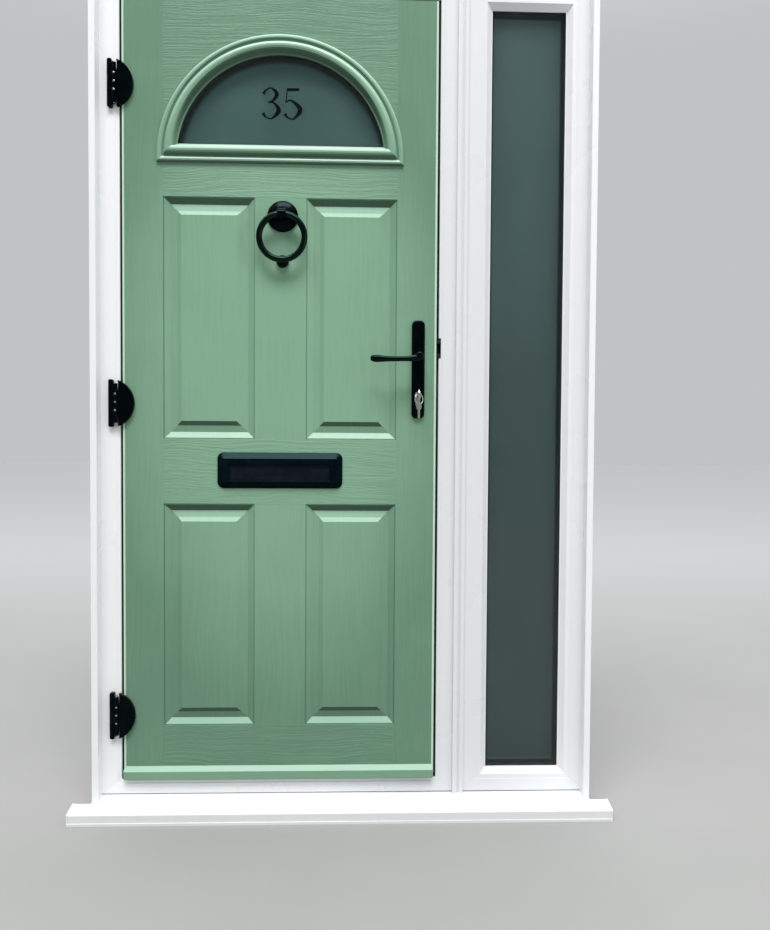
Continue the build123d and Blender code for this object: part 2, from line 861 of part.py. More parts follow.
plate_z = spindle_z - handle_plate_drop
letter_z = leaf_bottom + letter_height
slot_z = letter_z - letter_opening_drop
knocker_z = leaf_bottom + knocker_height
knocker_x = leaf_x + knocker_shift
case_right = leaf_right - faceplate_thickness
case_left = case_right - lock_case_depth
case_bottom = spindle_z - lock_case_below
case_top = spindle_z + lock_case_above
case_front = leaf_middle - lock_case_thickness / 2
case_back = leaf_middle + lock_case_thickness / 2
faceplate_z = (case_bottom + case_top) / 2

# Slab: one thick board with rounded edges, panels on both faces, and the cut-outs for
# the fanlight, the letter sleeve, the lock and the handle.
with BuildPart() as door_slab:
    block((leaf_left, leaf_front, leaf_bottom), (leaf_right, leaf_back, leaf_top))
    fillet(door_slab.edges().filter_by(Axis.Z), leaf_edge_round)
    with BuildSketch(Plane.XY.offset(leaf_bottom)):
        for face, into in ((leaf_front, 1), (leaf_back, -1)):
            for edge, inward in ((leaf_left, 1), (leaf_right, -1)):
                groove_x = edge + inward * edge_groove_inset
                Polygon(
                    (groove_x - edge_groove_width / 2, face),
                    (groove_x + edge_groove_width / 2, face),
                    (groove_x, face + into * edge_groove_depth),
                    align=None,
                )
    extrude(amount=leaf_height, mode=Mode.SUBTRACT)
    for face, side in ((leaf_front, 1), (leaf_back, -1)):
        for row_bottom, row_height in (
            (upper_panel_bottom, upper_panel_height),
            (lower_panel_bottom, lower_panel_height),
        ):
            for column in (-1, 1):
                panel(
                    leaf_x + column * (panel_inner_gap + panel_width) / 2,
                    leaf_bottom + row_bottom + row_height / 2,
                    row_height,
                    face,
                    side,
                )
    fan_plate(fan_seat, leaf_front - 1, leaf_back + 1, Mode.SUBTRACT)
    block(
        (
            leaf_x - sleeve_width / 2 - sleeve_gap,
            leaf_front - 1,
            slot_z - sleeve_height / 2 - sleeve_gap,
        ),
        (
            leaf_x + sleeve_width / 2 + sleeve_gap,
            leaf_back + 1,
            slot_z + sleeve_height / 2 + sleeve_gap,
        ),
        Mode.SUBTRACT,
    )
    block(
        (case_left - lock_clearance, case_front - lock_clearance, case_bottom - lock_clearance),
        (leaf_right + 1, case_back + lock_clearance, case_top + lock_clearance),
        Mode.SUBTRACT,
    )
    block(
        (
            case_right,
            leaf_middle - faceplate_width / 2,
            faceplate_z - faceplate_length / 2,
        ),
        (
            leaf_right + 1,
            leaf_middle + faceplate_width / 2,
            faceplate_z + faceplate_length / 2,
        ),
        Mode.SUBTRACT,
    )
    cylinder_shape(lock_clearance, leaf_front - 1, leaf_back + 1, Mode.SUBTRACT)
    rod(
        "y",
        (spindle_x, spindle_z),
        leaf_front - 1,
        leaf_back + 1,
        hub_shaft_radius + lock_clearance,
        Mode.SUBTRACT,
    )
    for side in (-1, 1):
        rod(
            "y",
            (spindle_x, plate_z + side * handle_bolt_pitch / 2),
            leaf_front - 1,
            leaf_back + 1,
            handle_bolt_radius + lock_clearance,
            Mode.SUBTRACT,
        )
save(door_slab, "door_slab")

# Weather bar: a drip section along the foot of the leaf.
with BuildPart() as weather_bar:
    with BuildSketch(Plane.YZ.offset(leaf_left + weather_bar_inset)) as weather_bar_section:
        Polygon(
            (leaf_front, leaf_bottom),
            (leaf_front - weather_bar_proud, leaf_bottom),
            (leaf_front - weather_bar_proud, leaf_bottom + weather_bar_front),
            (leaf_front, leaf_bottom + weather_bar_height),
            align=None,
        )
        fillet(weather_bar_section.vertices().group_by(Axis.X)[0], weather_bar_round)
    extrude(amount=leaf_width - 2 * weather_bar_inset)
save(weather_bar, "weather_bar")

# Fanlight cassette. The moulding's profile gives shares of the trim's width, inwards from
# the outline, and of the crest's height above the slab: an outer bead, a groove, a broad
# crest and the slope to the glass. The ring is turned about the circle's centre, the base
# bar runs straight, and both are cut along the same mitre.
fan_profile = (
    (0.0, 0.0),
    (0.0, 0.286),
    (0.026, 0.443),
    (0.087, 0.557),
    (0.163, 0.586),
    (0.228, 0.521),
    (0.278, 0.357),
    (0.348, 0.321),
    (0.402, 0.607),
    (0.467, 0.886),
    (0.554, 0.986),
    (0.652, 1.0),
    (0.75, 0.914),
    (0.815, 0.679),
    (0.924, -0.143),
    (1.0, -0.25),
)
fan_tongue_back = fan_gasket - fan_glass_depth
fan_section = [
    *[(u * fan_trim_width, v * fan_crest_proud) for u, v in fan_profile],
    (fan_trim_width, fan_tongue_back),
    (fan_seat + fan_cut_gap, fan_tongue_back),
    (fan_seat + fan_cut_gap, 0),
]
mitre_steps = [fan_trim_width * step / 6 for step in range(7)]
mitre = [
    (((fan_radius - u) ** 2 - (u - fan_foot) ** 2) ** 0.5, fan_base + u) for u in mitre_steps
]
mitre_right = [(leaf_x + x, z) for x, z in mitre]
mitre_left = [(leaf_x - x, z) for x, z in mitre]
outside = 2 * fan_radius
fan_axis = Axis((leaf_x, 0, fan_z), (0, 1, 0))

with BuildPart() as fan_ring:
    with BuildSketch(Plane.YZ.offset(leaf_x)):
        Polygon(*[(leaf_front - v, fan_z + fan_radius - u) for u, v in fan_section], align=None)
    revolve(axis=fan_axis, revolution_arc=360)
    with BuildSketch(facing(frame_depth)):
        Polygon(
            (leaf_x - outside, fan_base),
            *mitre_left,
            *reversed(mitre_right),
            (leaf_x + outside, fan_base),
            (leaf_x + outside, fan_z + outside),
            (leaf_x - outside, fan_z + outside),
            align=None,
        )
    extrude(amount=2 * frame_depth, mode=Mode.INTERSECT)

with BuildPart() as fanlight_outer_frame:
    with BuildSketch(Plane.YZ.offset(leaf_x - outside)):
        Polygon(*[(leaf_front - v, fan_base + u) for u, v in fan_section], align=None)
    extrude(amount=2 * outside)
    with BuildSketch(facing(frame_depth)):
        Polygon(*mitre_left, *reversed(mitre_right), align=None)
    extrude(amount=2 * frame_depth, mode=Mode.INTERSECT)
    add(fan_ring.part)
save(fanlight_outer_frame, "fanlight_outer_frame")

with BuildPart() as fanlight_inner_frame:
    mirror(fanlight_outer_frame.part, about=facing(leaf_middle))
save(fanlight_inner_frame, "fanlight_inner_frame")

# Fanlight glass unit and its gaskets
fan_glass_front = leaf_front + fan_glass_depth
fan_glass_back = leaf_back - fan_glass_depth
with BuildPart() as fanlight_outer_pane:
    fan_plate(fan_glass_inset, fan_glass_front, fan_glass_front + pane_thickness)
save(fanlight_outer_pane, "fanlight_outer_pane")

with BuildPart() as fanlight_inner_pane:
    fan_plate(fan_glass_inset, fan_glass_back - pane_thickness, fan_glass_back)
save(fanlight_inner_pane, "fanlight_inner_pane")

with BuildPart() as fanlight_spacer:
    inset = fan_glass_inset + spacer_inset
    front = fan_glass_front + pane_thickness
    back = fan_glass_back - pane_thickness
    fan_plate(inset, front, back)
    fan_plate(inset + spacer_width, front - 1, back + 1, Mode.SUBTRACT)
save(fanlight_spacer, "fanlight_spacer")

with BuildPart() as fanlight_gaskets:
    inset = fan_trim_width - gasket_set_back
    for front, back in (
        (fan_glass_front - fan_gasket, fan_glass_front),
        (fan_glass_back, fan_glass_back + fan_gasket),
    ):
        fan_plate(inset - gasket_width, front, back)
        fan_plate(inset, front, back, Mode.SUBTRACT)
save(fanlight_gaskets, "fanlight_gaskets")


# A letter plate's body: a base with round corners, bevelled up to a flat around the
# opening, which lies a little below the plate's middle.
def letter_plate_body(face, side, proud):
    def outline_at(shrink_x, shrink_z, corner, height):
        wide = letter_plate_width - 2 * shrink_x
        high = letter_plate_height - 2 * shrink_z
        with BuildSketch(facing(face - side * height)) as outline:
            with Locations((leaf_x, letter_z)):
                RectangleRounded(wide, high, corner)
        return outline.sketch

    foot = outline_at(0, 0, letter_plate_corner, 0)
    base = outline_at(0, 0, letter_plate_corner, letter_plate_base)
    top = outline_at(letter_bevel_x, letter_bevel_z, letter_inner_corner, proud)
    extrude(foot, amount=side * letter_plate_base)
    loft([base, top], ruled=True)
    block(
        (
            leaf_x - letter_opening_width / 2,
            min(face, face - side * proud) - 1,
            slot_z - letter_opening_height / 2,
        ),
        (
            leaf_x + letter_opening_width / 2,
            max(face, face - side * proud) + 1,
            slot_z + letter_opening_height / 2,
        ),
        Mode.SUBTRACT,
    )


# Letter plate outdoors, with bores for the flap's pivots
flap_pivot_y = leaf_front - letter_plate_proud + flap_set_back + flap_thickness / 2
flap_pivot_z = slot_z + letter_opening_height / 2 - flap_pivot_drop
with BuildPart() as letter_plate_outer:
    letter_plate_body(leaf_front, 1, letter_plate_proud)
    half_bore = letter_opening_width / 2 + flap_pin_length + pin_clearance
    rod(
        "x",
        (flap_pivot_y, flap_pivot_z),
        leaf_x - half_bore,
        leaf_x + half_bore,
        flap_pin_radius + pin_clearance,
        Mode.SUBTRACT,
    )
save(letter_plate_outer, "letter_plate_outer")

with BuildPart() as letter_flap_outer:
    half_flap = letter_opening_width / 2 - flap_clearance
    block(
        (
            leaf_x - half_flap,
            flap_pivot_y - flap_thickness / 2,
            slot_z - letter_opening_height / 2 + flap_clearance,
        ),
        (
            leaf_x + half_flap,
            flap_pivot_y + flap_thickness / 2,
            slot_z + letter_opening_height / 2 - flap_clearance,
        ),
    )
    half_pin = letter_opening_width / 2 + flap_pin_length
    rod("x", (flap_pivot_y, flap_pivot_z), leaf_x - half_pin, leaf_x + half_pin, flap_pin_radius)
save(letter_flap_outer, "letter_flap_outer")

with BuildPart() as letter_sleeve:
    ring(
        leaf_x - sleeve_width / 2,
        leaf_x + sleeve_width / 2,
        slot_z - sleeve_height / 2,
        slot_z + sleeve_height / 2,
        sleeve_wall,
        leaf_front,
        leaf_back,
    )
save(letter_sleeve, "letter_sleeve")

# Letter plate indoors: the flap hangs in front of it, on pivots between two ears.
inner_pivot_y = leaf_back + inner_plate_proud + inner_flap_gap + flap_thickness / 2
inner_pivot_z = slot_z + letter_opening_height / 2 + inner_flap_overlap
ear_inside = letter_opening_width / 2 + inner_flap_overlap + flap_clearance
with BuildPart() as letter_plate_inner:
    letter_plate_body(leaf_back, -1, inner_plate_proud)
    for side in (-1, 1):
        ear_centre = leaf_x + side * (ear_inside + inner_ear_width / 2)
        with BuildSketch(Plane.YZ.offset(ear_centre - inner_ear_width / 2)):
            with Locations((inner_pivot_y, inner_pivot_z)):
                Circle(inner_ear_radius)
            with Locations(((leaf_back + inner_pivot_y) / 2, inner_pivot_z)):
                Rectangle(inner_pivot_y - leaf_back, 2 * inner_ear_radius)
        extrude(amount=inner_ear_width)
        rod(
            "x",
            (inner_pivot_y, inner_pivot_z),
            ear_centre - side * inner_ear_width,
            ear_centre + side * (inner_ear_width / 2 - letter_ear_wall),
            flap_pin_radius + pin_clearance,
            Mode.SUBTRACT,
        )
save(letter_plate_inner, "letter_plate_inner")

with BuildPart() as letter_flap_inner:
    half_flap = letter_opening_width / 2 + inner_flap_overlap
    block(
        (
            leaf_x - half_flap,
            inner_pivot_y - flap_thickness / 2,
            slot_z - letter_opening_height / 2 - inner_flap_overlap,
        ),
        (leaf_x + half_flap, inner_pivot_y + flap_thickness / 2, inner_pivot_z),
    )
    half_pin = ear_inside + inner_ear_width - letter_ear_wall - flap_clearance
    rod("x", (inner_pivot_y, inner_pivot_z), leaf_x - half_pin, leaf_x + half_pin, flap_pin_radius)
save(letter_flap_inner, "letter_flap_inner")

# A knocker's dome turned about Y on the leaf's face: a rim, then part of a sphere.
def dome(centre_z, radius, rim, proud):
    rise = proud - rim
    sphere_radius = (radius**2 + rise**2) / (2 * rise)
    shoulder = proud - sphere_radius + (sphere_radius**2 - (radius * dome_share) ** 2) ** 0.5
    with BuildSketch(Plane.YZ.offset(knocker_x)) as outline:
        with BuildLine():
            Polyline(
                (leaf_front - proud, centre_z),
                (leaf_front, centre_z),
                (leaf_front, centre_z + radius),
                (leaf_front - rim, centre_z + radius),
            )
            ThreePointArc(
                (leaf_front - rim, centre_z + radius),
                (leaf_front - shoulder, centre_z + radius * dome_share),
                (leaf_front - proud, centre_z),
            )
        make_face()
    revolve(outline.sketch, axis=Axis((knocker_x, 0, centre_z), (0, 1, 0)), revolution_arc=360)


# Ring knocker: a domed rose with a pierced neck, the ring through it, and the striker.
ring_axis_y = leaf_front - ring_standoff
with BuildPart() as knocker_rose:
    dome(knocker_z, rose_radius, rose_rim, rose_proud)
    with BuildSketch(Plane.YZ.offset(knocker_x - rose_neck_width / 2)):
        with Locations((ring_axis_y, knocker_z)):
            Circle(rose_neck_radius)
        with Locations(((leaf_front - rose_rim + ring_axis_y) / 2, knocker_z)):
            Rectangle(ring_standoff - rose_rim, 2 * rose_neck_radius)
        with Locations((ring_axis_y, knocker_z)):
            Circle(rose_hole_radius, mode=Mode.SUBTRACT)
    extrude(amount=rose_neck_width)
save(knocker_rose, "knocker_rose")

with BuildPart() as knocker_ring:
    with BuildSketch(Plane((knocker_x, ring_axis_y, knocker_z), x_dir=(0, 1, 0), z_dir=(1, 0, 0))):
        Circle(ring_tube_radius)
    revolve(axis=Axis((knocker_x, ring_axis_y, knocker_z - ring_radius), (0, 1, 0)), revolution_arc=360)
save(knocker_ring, "knocker_ring")

striker_z = knocker_z - 2 * ring_radius
striker_proud = ring_standoff - ring_tube_radius - striker_gap
with BuildPart() as knocker_striker:
    dome(striker_z, striker_radius, striker_rim, striker_proud)
save(knocker_striker, "knocker_striker")


# Long backplate with round corners
def backplate(face, side):
    with BuildSketch(facing(face)) as outline:
        with Locations((spindle_x, plate_z)):
            RectangleRounded(handle_plate_width, handle_plate_length, handle_plate_corner)
    extrude(outline.sketch, amount=side * handle_plate_thickness)


plate_front = leaf_front - handle_plate_thickness
plate_back = leaf_back + handle_plate_thickness
with BuildPart() as backplate_outer:
    backplate(leaf_front, 1)
    fillet(backplate_outer.faces().sort_by(Axis.Y)[0].edges(), handle_plate_round)
    rod(
        "y",
        (spindle_x, spindle_z),
        plate_front - 1,
        leaf_front + 1,
        hub_shaft_radius + shaft_clearance,
        Mode.SUBTRACT,
    )
    cylinder_shape(bolt_clearance, plate_front - 1, leaf_front + 1, Mode.SUBTRACT)
    for side in (-1, 1):
        rod(
            "y",
            (spindle_x, plate_z + side * handle_bolt_pitch / 2),
            leaf_front - handle_bolt_bite - handle_bolt_gap,
            leaf_front + 1,
            handle_bolt_radius + handle_bolt_gap,
            Mode.SUBTRACT,
        )
save(backplate_outer, "backplate_outer")

with BuildPart() as backplate_inner:
    backplate(leaf_back, -1)
    fillet(backplate_inner.faces().sort_by(Axis.Y)[-1].edges(), handle_plate_round)
    rod(
        "y",
        (spindle_x, spindle_z),
        leaf_back - 1,
        plate_back + 1,
        hub_shaft_radius + shaft_clearance,
        Mode.SUBTRACT,
    )
    cylinder_shape(bolt_clearance, leaf_back - 1, plate_back + 1, Mode.SUBTRACT)
    for side in (-1, 1):
        centre = (spindle_x, plate_z + side * handle_bolt_pitch / 2)
        bore = handle_bolt_radius + handle_bolt_gap
        recess = handle_bolt_head_radius + handle_bolt_gap
        rod("y", centre, leaf_back - 1, plate_back + 1, bore, Mode.SUBTRACT)
        rod("y", centre, plate_back - handle_bolt_head, plate_back + 1, recess, Mode.SUBTRACT)
save(backplate_inner, "backplate_inner")

with BuildPart() as handle_bolts:
    for side in (-1, 1):
        centre = (spindle_x, plate_z + side * handle_bolt_pitch / 2)
        rod("y", centre, leaf_front - handle_bolt_bite, plate_back - handle_bolt_head, handle_bolt_radius)
        rod("y", centre, plate_back - handle_bolt_head, plate_back, handle_bolt_head_radius)
save(handle_bolts, "handle_bolts")

# Lever: a round hub on the spindle and a swelling, gently curved grip. Each station gives
# the distance from the hub, the rise, the half height, the half depth and the stand-off.
grip_stations = (
    (0.0, -3.0, 8.5, 6.5, 0.0),
    (16.0, -6.0, 7.6, 6.4, 1.5),
    (40.0, -7.0, 6.2, 6.0, 2.0),
    (66.0, -7.2, 6.6, 6.0, 1.0),
    (92.0, -6.8, 8.2, 6.6, -0.5),
    (108.0, -6.4, 8.8, 6.4, -1.5),
    (lever_length, -6.2, 4.2, 3.2, -2.0),
)
hub_end = leaf_front - lever_standoff
with BuildPart() as lever_outer:
    rod("y", (spindle_x, spindle_z), hub_end, leaf_front - hub_start, hub_shaft_radius)
    rod("y", (spindle_x, spindle_z), hub_end - hub_nose, plate_front - hub_collar_gap, hub_radius)
    fillet(lever_outer.faces().sort_by(Axis.Y)[0].edges(), hub_round)
    sections = []
    for distance, rise, half_height, half_depth, lift in grip_stations:
        with BuildSketch(Plane.YZ.offset(spindle_x - distance)) as section:
            with Locations((hub_end - lift, spindle_z + rise)):
                Ellipse(half_depth, half_height)
        sections.append(section.sketch)
    loft(sections)
    socket = spindle_side / 2
    block(
        (spindle_x - socket, leaf_front - hub_start - lever_socket, spindle_z - socket),
        (spindle_x + socket, leaf_front, spindle_z + socket),
        Mode.SUBTRACT,
    )
save(lever_outer, "lever_outer")

with BuildPart() as lever_inner:
    mirror(lever_outer.part, about=facing(leaf_middle))
save(lever_inner, "lever_inner")

with BuildPart() as spindle:
    block(
        (spindle_x - socket, leaf_front - hub_start - lever_socket, spindle_z - socket),
        (spindle_x + socket, leaf_back + hub_start + lever_socket, spindle_z + socket),
    )
save(spindle, "spindle")

# Lock: the follower on the spindle, the latch bolt and the deadbolt in the case, and the
# case's long faceplate in the leaf's edge.
with BuildPart() as lock_follower:
    half_case = lock_case_thickness / 2
    rod("y", (spindle_x, spindle_z), leaf_middle - half_case, leaf_middle + half_case, follower_trunnion)
    half_cavity = half_case - lock_wall - lock_clearance
    rod("y", (spindle_x, spindle_z), leaf_middle - half_cavity, leaf_middle + half_cavity, follower_radius)
    block(
        (spindle_x - socket, case_front - 1, spindle_z - socket),
        (spindle_x + socket, case_back + 1, spindle_z + socket),
        Mode.SUBTRACT,
    )
save(lock_follower, "lock_follower")

with BuildPart() as lock_case:
    block((case_left, case_front, case_bottom), (case_right, case_back, case_top))
    block(
        (case_left + lock_wall, case_front + lock_wall, case_bottom + lock_wall),
        (case_right, case_back - lock_wall, case_top - lock_wall),
        Mode.SUBTRACT,
    )
    block(
        (case_right, leaf_middle - faceplate_width / 2, faceplate_z - faceplate_length / 2),
        (leaf_right, leaf_middle + faceplate_width / 2, faceplate_z + faceplate_length / 2),
    )
    for centre, height in ((latch_z, latch_height), (deadbolt_z, deadbolt_height)):
        block(
            (
                case_right - 1,
                leaf_middle - latch_thickness / 2 - bolt_clearance / 2,
                centre - height / 2 - bolt_clearance,
            ),
            (
                leaf_right + 1,
                leaf_middle + latch_thickness / 2 + bolt_clearance / 2,
                centre + height / 2 + bolt_clearance,
            ),
            Mode.SUBTRACT,
        )
    cylinder_shape(bolt_clearance, case_front - 1, case_back + 1, Mode.SUBTRACT)
    rod(
        "y",
        (spindle_x, spindle_z),
        case_front - 1,
        case_back + 1,
        follower_trunnion + shaft_clearance,
        Mode.SUBTRACT,
    )
save(lock_case, "lock_case")

with BuildPart() as latch_bolt:
    with BuildSketch(Plane.XY.offset(latch_z - latch_height / 2)):
        tip = leaf_right + latch_reach
        half_latch = latch_thickness / 2
        Polygon(
            (tip - latch_length, leaf_middle - half_latch),
            (tip - latch_nose, leaf_middle - half_latch),
            (tip, leaf_middle - latch_nose / 2),
            (tip, leaf_middle + latch_nose / 2),
            (tip - latch_nose, leaf_middle + half_latch),
            (tip - latch_length, leaf_middle + half_latch),
            align=None,
        )
    extrude(amount=latch_height)
save(latch_bolt, "latch_bolt")

with BuildPart() as deadbolt:
    block(
        (
            leaf_right - deadbolt_set_back - deadbolt_length,
            leaf_middle - latch_thickness / 2,
            deadbolt_z - deadbolt_height / 2,
        ),
        (
            leaf_right - deadbolt_set_back,
            leaf_middle + latch_thickness / 2,
            deadbolt_z + deadbolt_height / 2,
        ),
    )
save(deadbolt, "deadbolt")

# Cylinder: the body with its web, and the plug that turns in it with the cam.
cylinder_front = plate_front - cylinder_proud
cylinder_back = plate_back + cylinder_proud
with BuildPart() as cylinder_body:
    cylinder_shape(0, cylinder_front, cylinder_back)
    rod(
        "y",
        (spindle_x, cylinder_z),
        cylinder_front - 1,
        cylinder_back + 1,
        plug_radius + plug_clearance,
        Mode.SUBTRACT,
    )
    half_slot = cam_width / 2 + cam_gap
    block(
        (spindle_x - lock_case_depth, leaf_middle - half_slot, cylinder_z - cam_reach - cam_gap),
        (spindle_x + lock_case_depth, leaf_middle + half_slot, cylinder_z + lock_case_depth),
        Mode.SUBTRACT,
    )
save(cylinder_body, "cylinder_body")

with BuildPart() as cylinder_plug:
    rod("y", (spindle_x, cylinder_z), cylinder_front, cylinder_back + turn_gap, plug_radius)
    with BuildSketch(facing(leaf_middle + cam_width / 2)):
        with Locations((spindle_x, cylinder_z)):
            Circle(cylinder_radius)
        with Locations((spindle_x, cylinder_z - cam_reach / 2)):
            Rectangle(cam_thickness, cam_reach)
    extrude(amount=cam_width)
    block(
        (
            spindle_x - keyway_width / 2,
            cylinder_front - 1,
            cylinder_z - keyway_height / 2,
        ),
        (
            spindle_x + keyway_width / 2,
            cylinder_front + key_blade_length,
            cylinder_z + keyway_height / 2,
        ),
        Mode.SUBTRACT,
    )
save(cylinder_plug, "cylinder_plug")

# Key: the blade in the plug and a round bow with a hole for the ring.
bow_y = cylinder_front - key_bow_offset
hole_y = bow_y - key_hole_forward
hole_z = cylinder_z + key_hole_rise
with BuildPart() as key:
    with BuildSketch(Plane.YZ.offset(spindle_x - key_thickness / 2)):
        blade_half = keyway_height / 2 - key_clearance
        with Locations(((bow_y + cylinder_front + key_blade_length - key_clearance) / 2, cylinder_z)):
            Rectangle(cylinder_front + key_blade_length - key_clearance - bow_y, 2 * blade_half)
        with Locations((bow_y, cylinder_z)):
            Circle(key_bow_radius)
        with Locations((hole_y, hole_z)):
            Circle(key_hole_radius, mode=Mode.SUBTRACT)
    extrude(amount=key_thickness)
save(key, "key")

# Thumbturn on the indoor end of the plug
turn_front = cylinder_back + turn_gap
with BuildPart() as thumbturn:
    rod("y", (spindle_x, cylinder_z), turn_front, turn_front + turn_collar, cylinder_radius)
    with BuildSketch(facing(turn_front + turn_collar)):
        with Locations((spindle_x, cylinder_z)):
            SlotOverall(turn_width, turn_thickness)
    extrude(amount=-turn_length)
save(thumbturn, "thumbturn")

# Key ring through the hole of the bow, turned about the vertical, and a spare key that
# hangs on the ring. The ring runs along one level direction and faces along the other.
along_ring = (cos(radians(keyring_turn)), sin(radians(keyring_turn)), 0)
ring_normal = (-sin(radians(keyring_turn)), cos(radians(keyring_turn)), 0)
ring_top = hole_z - key_hole_radius + keyring_wire + keyring_slack
with BuildPart() as keyring:
    with BuildSketch(Plane((spindle_x, hole_y, ring_top), x_dir=ring_normal, z_dir=along_ring)):
        Circle(keyring_wire)
    revolve(axis=Axis((spindle_x, hole_y, ring_top - keyring_radius), ring_normal), revolution_arc=360)
save(keyring, "keyring")

spare_hole_z = ring_top - 2 * keyring_radius + keyring_wire + spare_key_slack - spare_hole_radius
with BuildPart() as spare_key:
    with BuildSketch(Plane((spindle_x, hole_y, spare_hole_z), x_dir=ring_normal, z_dir=along_ring)):
        with Locations((0, -spare_hole_rise)):
            Circle(spare_bow_radius)
        with Locations((0, -spare_hole_rise - spare_blade_length / 2)):
            Rectangle(spare_blade_width, spare_blade_length)
        Circle(spare_hole_radius, mode=Mode.SUBTRACT)
    extrude(amount=spare_key_thickness / 2, both=True)
save(spare_key, "spare_key")
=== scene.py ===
import json
import math

import bmesh
import bpy
from mathutils import Matrix, Vector


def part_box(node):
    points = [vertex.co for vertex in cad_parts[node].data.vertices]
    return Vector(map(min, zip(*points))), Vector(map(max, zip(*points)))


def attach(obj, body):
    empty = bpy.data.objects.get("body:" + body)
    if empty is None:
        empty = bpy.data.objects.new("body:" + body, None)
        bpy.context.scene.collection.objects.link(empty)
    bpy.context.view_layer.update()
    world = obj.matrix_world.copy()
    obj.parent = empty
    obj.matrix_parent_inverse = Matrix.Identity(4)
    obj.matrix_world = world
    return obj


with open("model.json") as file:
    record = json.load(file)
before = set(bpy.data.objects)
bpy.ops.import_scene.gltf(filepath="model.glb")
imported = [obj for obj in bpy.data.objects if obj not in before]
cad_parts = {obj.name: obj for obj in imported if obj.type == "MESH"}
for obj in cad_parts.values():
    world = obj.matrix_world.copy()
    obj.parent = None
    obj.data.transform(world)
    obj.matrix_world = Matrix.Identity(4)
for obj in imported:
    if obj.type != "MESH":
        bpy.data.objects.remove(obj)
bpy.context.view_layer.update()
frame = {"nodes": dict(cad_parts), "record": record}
nodes = frame["nodes"]
print("frame loaded")

# Stations of the leaf that the paint and the number need, in metres
leafPlan = {
    "middle": -0.15875,
    "halfWidth": 0.383,
    "panelInner": 0.0635,
    "panelOuter": 0.2835,
    "panelRows": ((0.923, 1.509), (0.214, 0.762)),
}


# Shader nodes written as plain sums
class Wire:
    # A socket that can be used in an expression
    def __init__(self, finish, socket):
        self.finish = finish
        self.socket = socket

    def __add__(self, other):
        return self.finish.math("ADD", self, other)

    __radd__ = __add__

    def __mul__(self, other):
        return self.finish.math("MULTIPLY", self, other)

    __rmul__ = __mul__

    def __sub__(self, other):
        return self.finish.math("SUBTRACT", self, other)

    def __rsub__(self, other):
        return self.finish.math("SUBTRACT", other, self)

    def __truediv__(self, other):
        return self.finish.math("DIVIDE", self, other)

    def __rtruediv__(self, other):
        return self.finish.math("DIVIDE", other, self)

    def __abs__(self):
        return self.finish.math("ABSOLUTE", self)

    def __lt__(self, other):
        return self.finish.math("LESS_THAN", self, other)

    def __gt__(self, other):
        return self.finish.math("GREATER_THAN", self, other)

    def least(self, other):
        return self.finish.math("MINIMUM", self, other)

    def most(self, other):
        return self.finish.math("MAXIMUM", self, other)

    def root(self):
        return self.finish.math("SQRT", self)


class Finish:
    # The nodes of one material, or of the sky
    def __init__(self, owner):
        owner.use_nodes = True
        self.owner = owner
        self.tree = owner.node_tree
        self.tree.nodes.clear()

    def node(self, kind, settings=None, sockets=None):
        # Settings come first, because some of them change which sockets are in use
        made = self.tree.nodes.new(kind)
        for name, value in (settings or {}).items():
            setattr(made, name, value)
        for name, value in (sockets or {}).items():
            if isinstance(value, Wire):
                self.tree.links.new(value.socket, made.inputs[name])
            else:
                made.inputs[name].default_value = value
        return [Wire(self, socket) for socket in made.outputs]

    def math(self, operation, *values):
        return self.node("ShaderNodeMath", {"operation": operation}, dict(enumerate(values)))[0]

    def coordinate(self, kind):
        outputs = ("Generated", "Normal", "UV", "Object")
        return self.node("ShaderNodeTexCoord")[outputs.index(kind)]

    def parts(self, vector):
        return self.node("ShaderNodeSeparateXYZ", sockets={0: vector})

    def place(self):
        # The point on the door in metres, whole and by its x, y and z
        point = self.coordinate("Object")
        return point, self.parts(point)

    def rise(self):
        # How far the surface faces up (1) or down (-1)
        return self.parts(self.coordinate("Normal"))[2]

    def vector(self, x, y, z):
        return self.node("ShaderNodeCombineXYZ", sockets={0: x, 1: y, 2: z})[0]

    def noise(self, vector, scale=1.0, detail=3.0, rough=0.5):
        sockets = {"Vector": vector, "Scale": scale, "Detail": detail, "Roughness": rough}
        return self.node("ShaderNodeTexNoise", sockets=sockets)[0]

    def mix(self, factor, first, second):
        # A Mix node keeps its colours on inputs 6 and 7, and their result on output 2
        return self.node("ShaderNodeMix", {"data_type": "RGBA"}, {0: factor, 6: first, 7: second})[2]

    def ramp(self, value, low, high):
        # 0 at low and 1 at high, with a soft start and end
        sockets = {"Value": value, "From Min": low, "From Max": high}
        return self.node("ShaderNodeMapRange", {"interpolation_type": "SMOOTHSTEP"}, sockets)[0]

    def shader(self, bump=None, depth=0.0, strength=1.0, **sockets):
        # Base_Color stands for the socket "Base Color", and so on
        values = {name.replace("_", " "): value for name, value in sockets.items()}
        if bump is not None:
            relief = {"Height": bump, "Distance": depth, "Strength": strength}
            values["Normal"] = self.node("ShaderNodeBump", sockets=relief)[0]
        surface = self.node("ShaderNodeBsdfPrincipled", sockets=values)[0]
        self.node("ShaderNodeOutputMaterial", sockets={"Surface": surface})
        return self.owner


def newFinish(name):
    return Finish(bpy.data.materials.new(name))


def colour(red, green, blue):
    return (red, green, blue, 1.0)


def inset(value, low, high):
    # Distance inside the span from low to high, below 0 outside it
    return (high - low) / 2 - abs(value - (low + high) / 2)


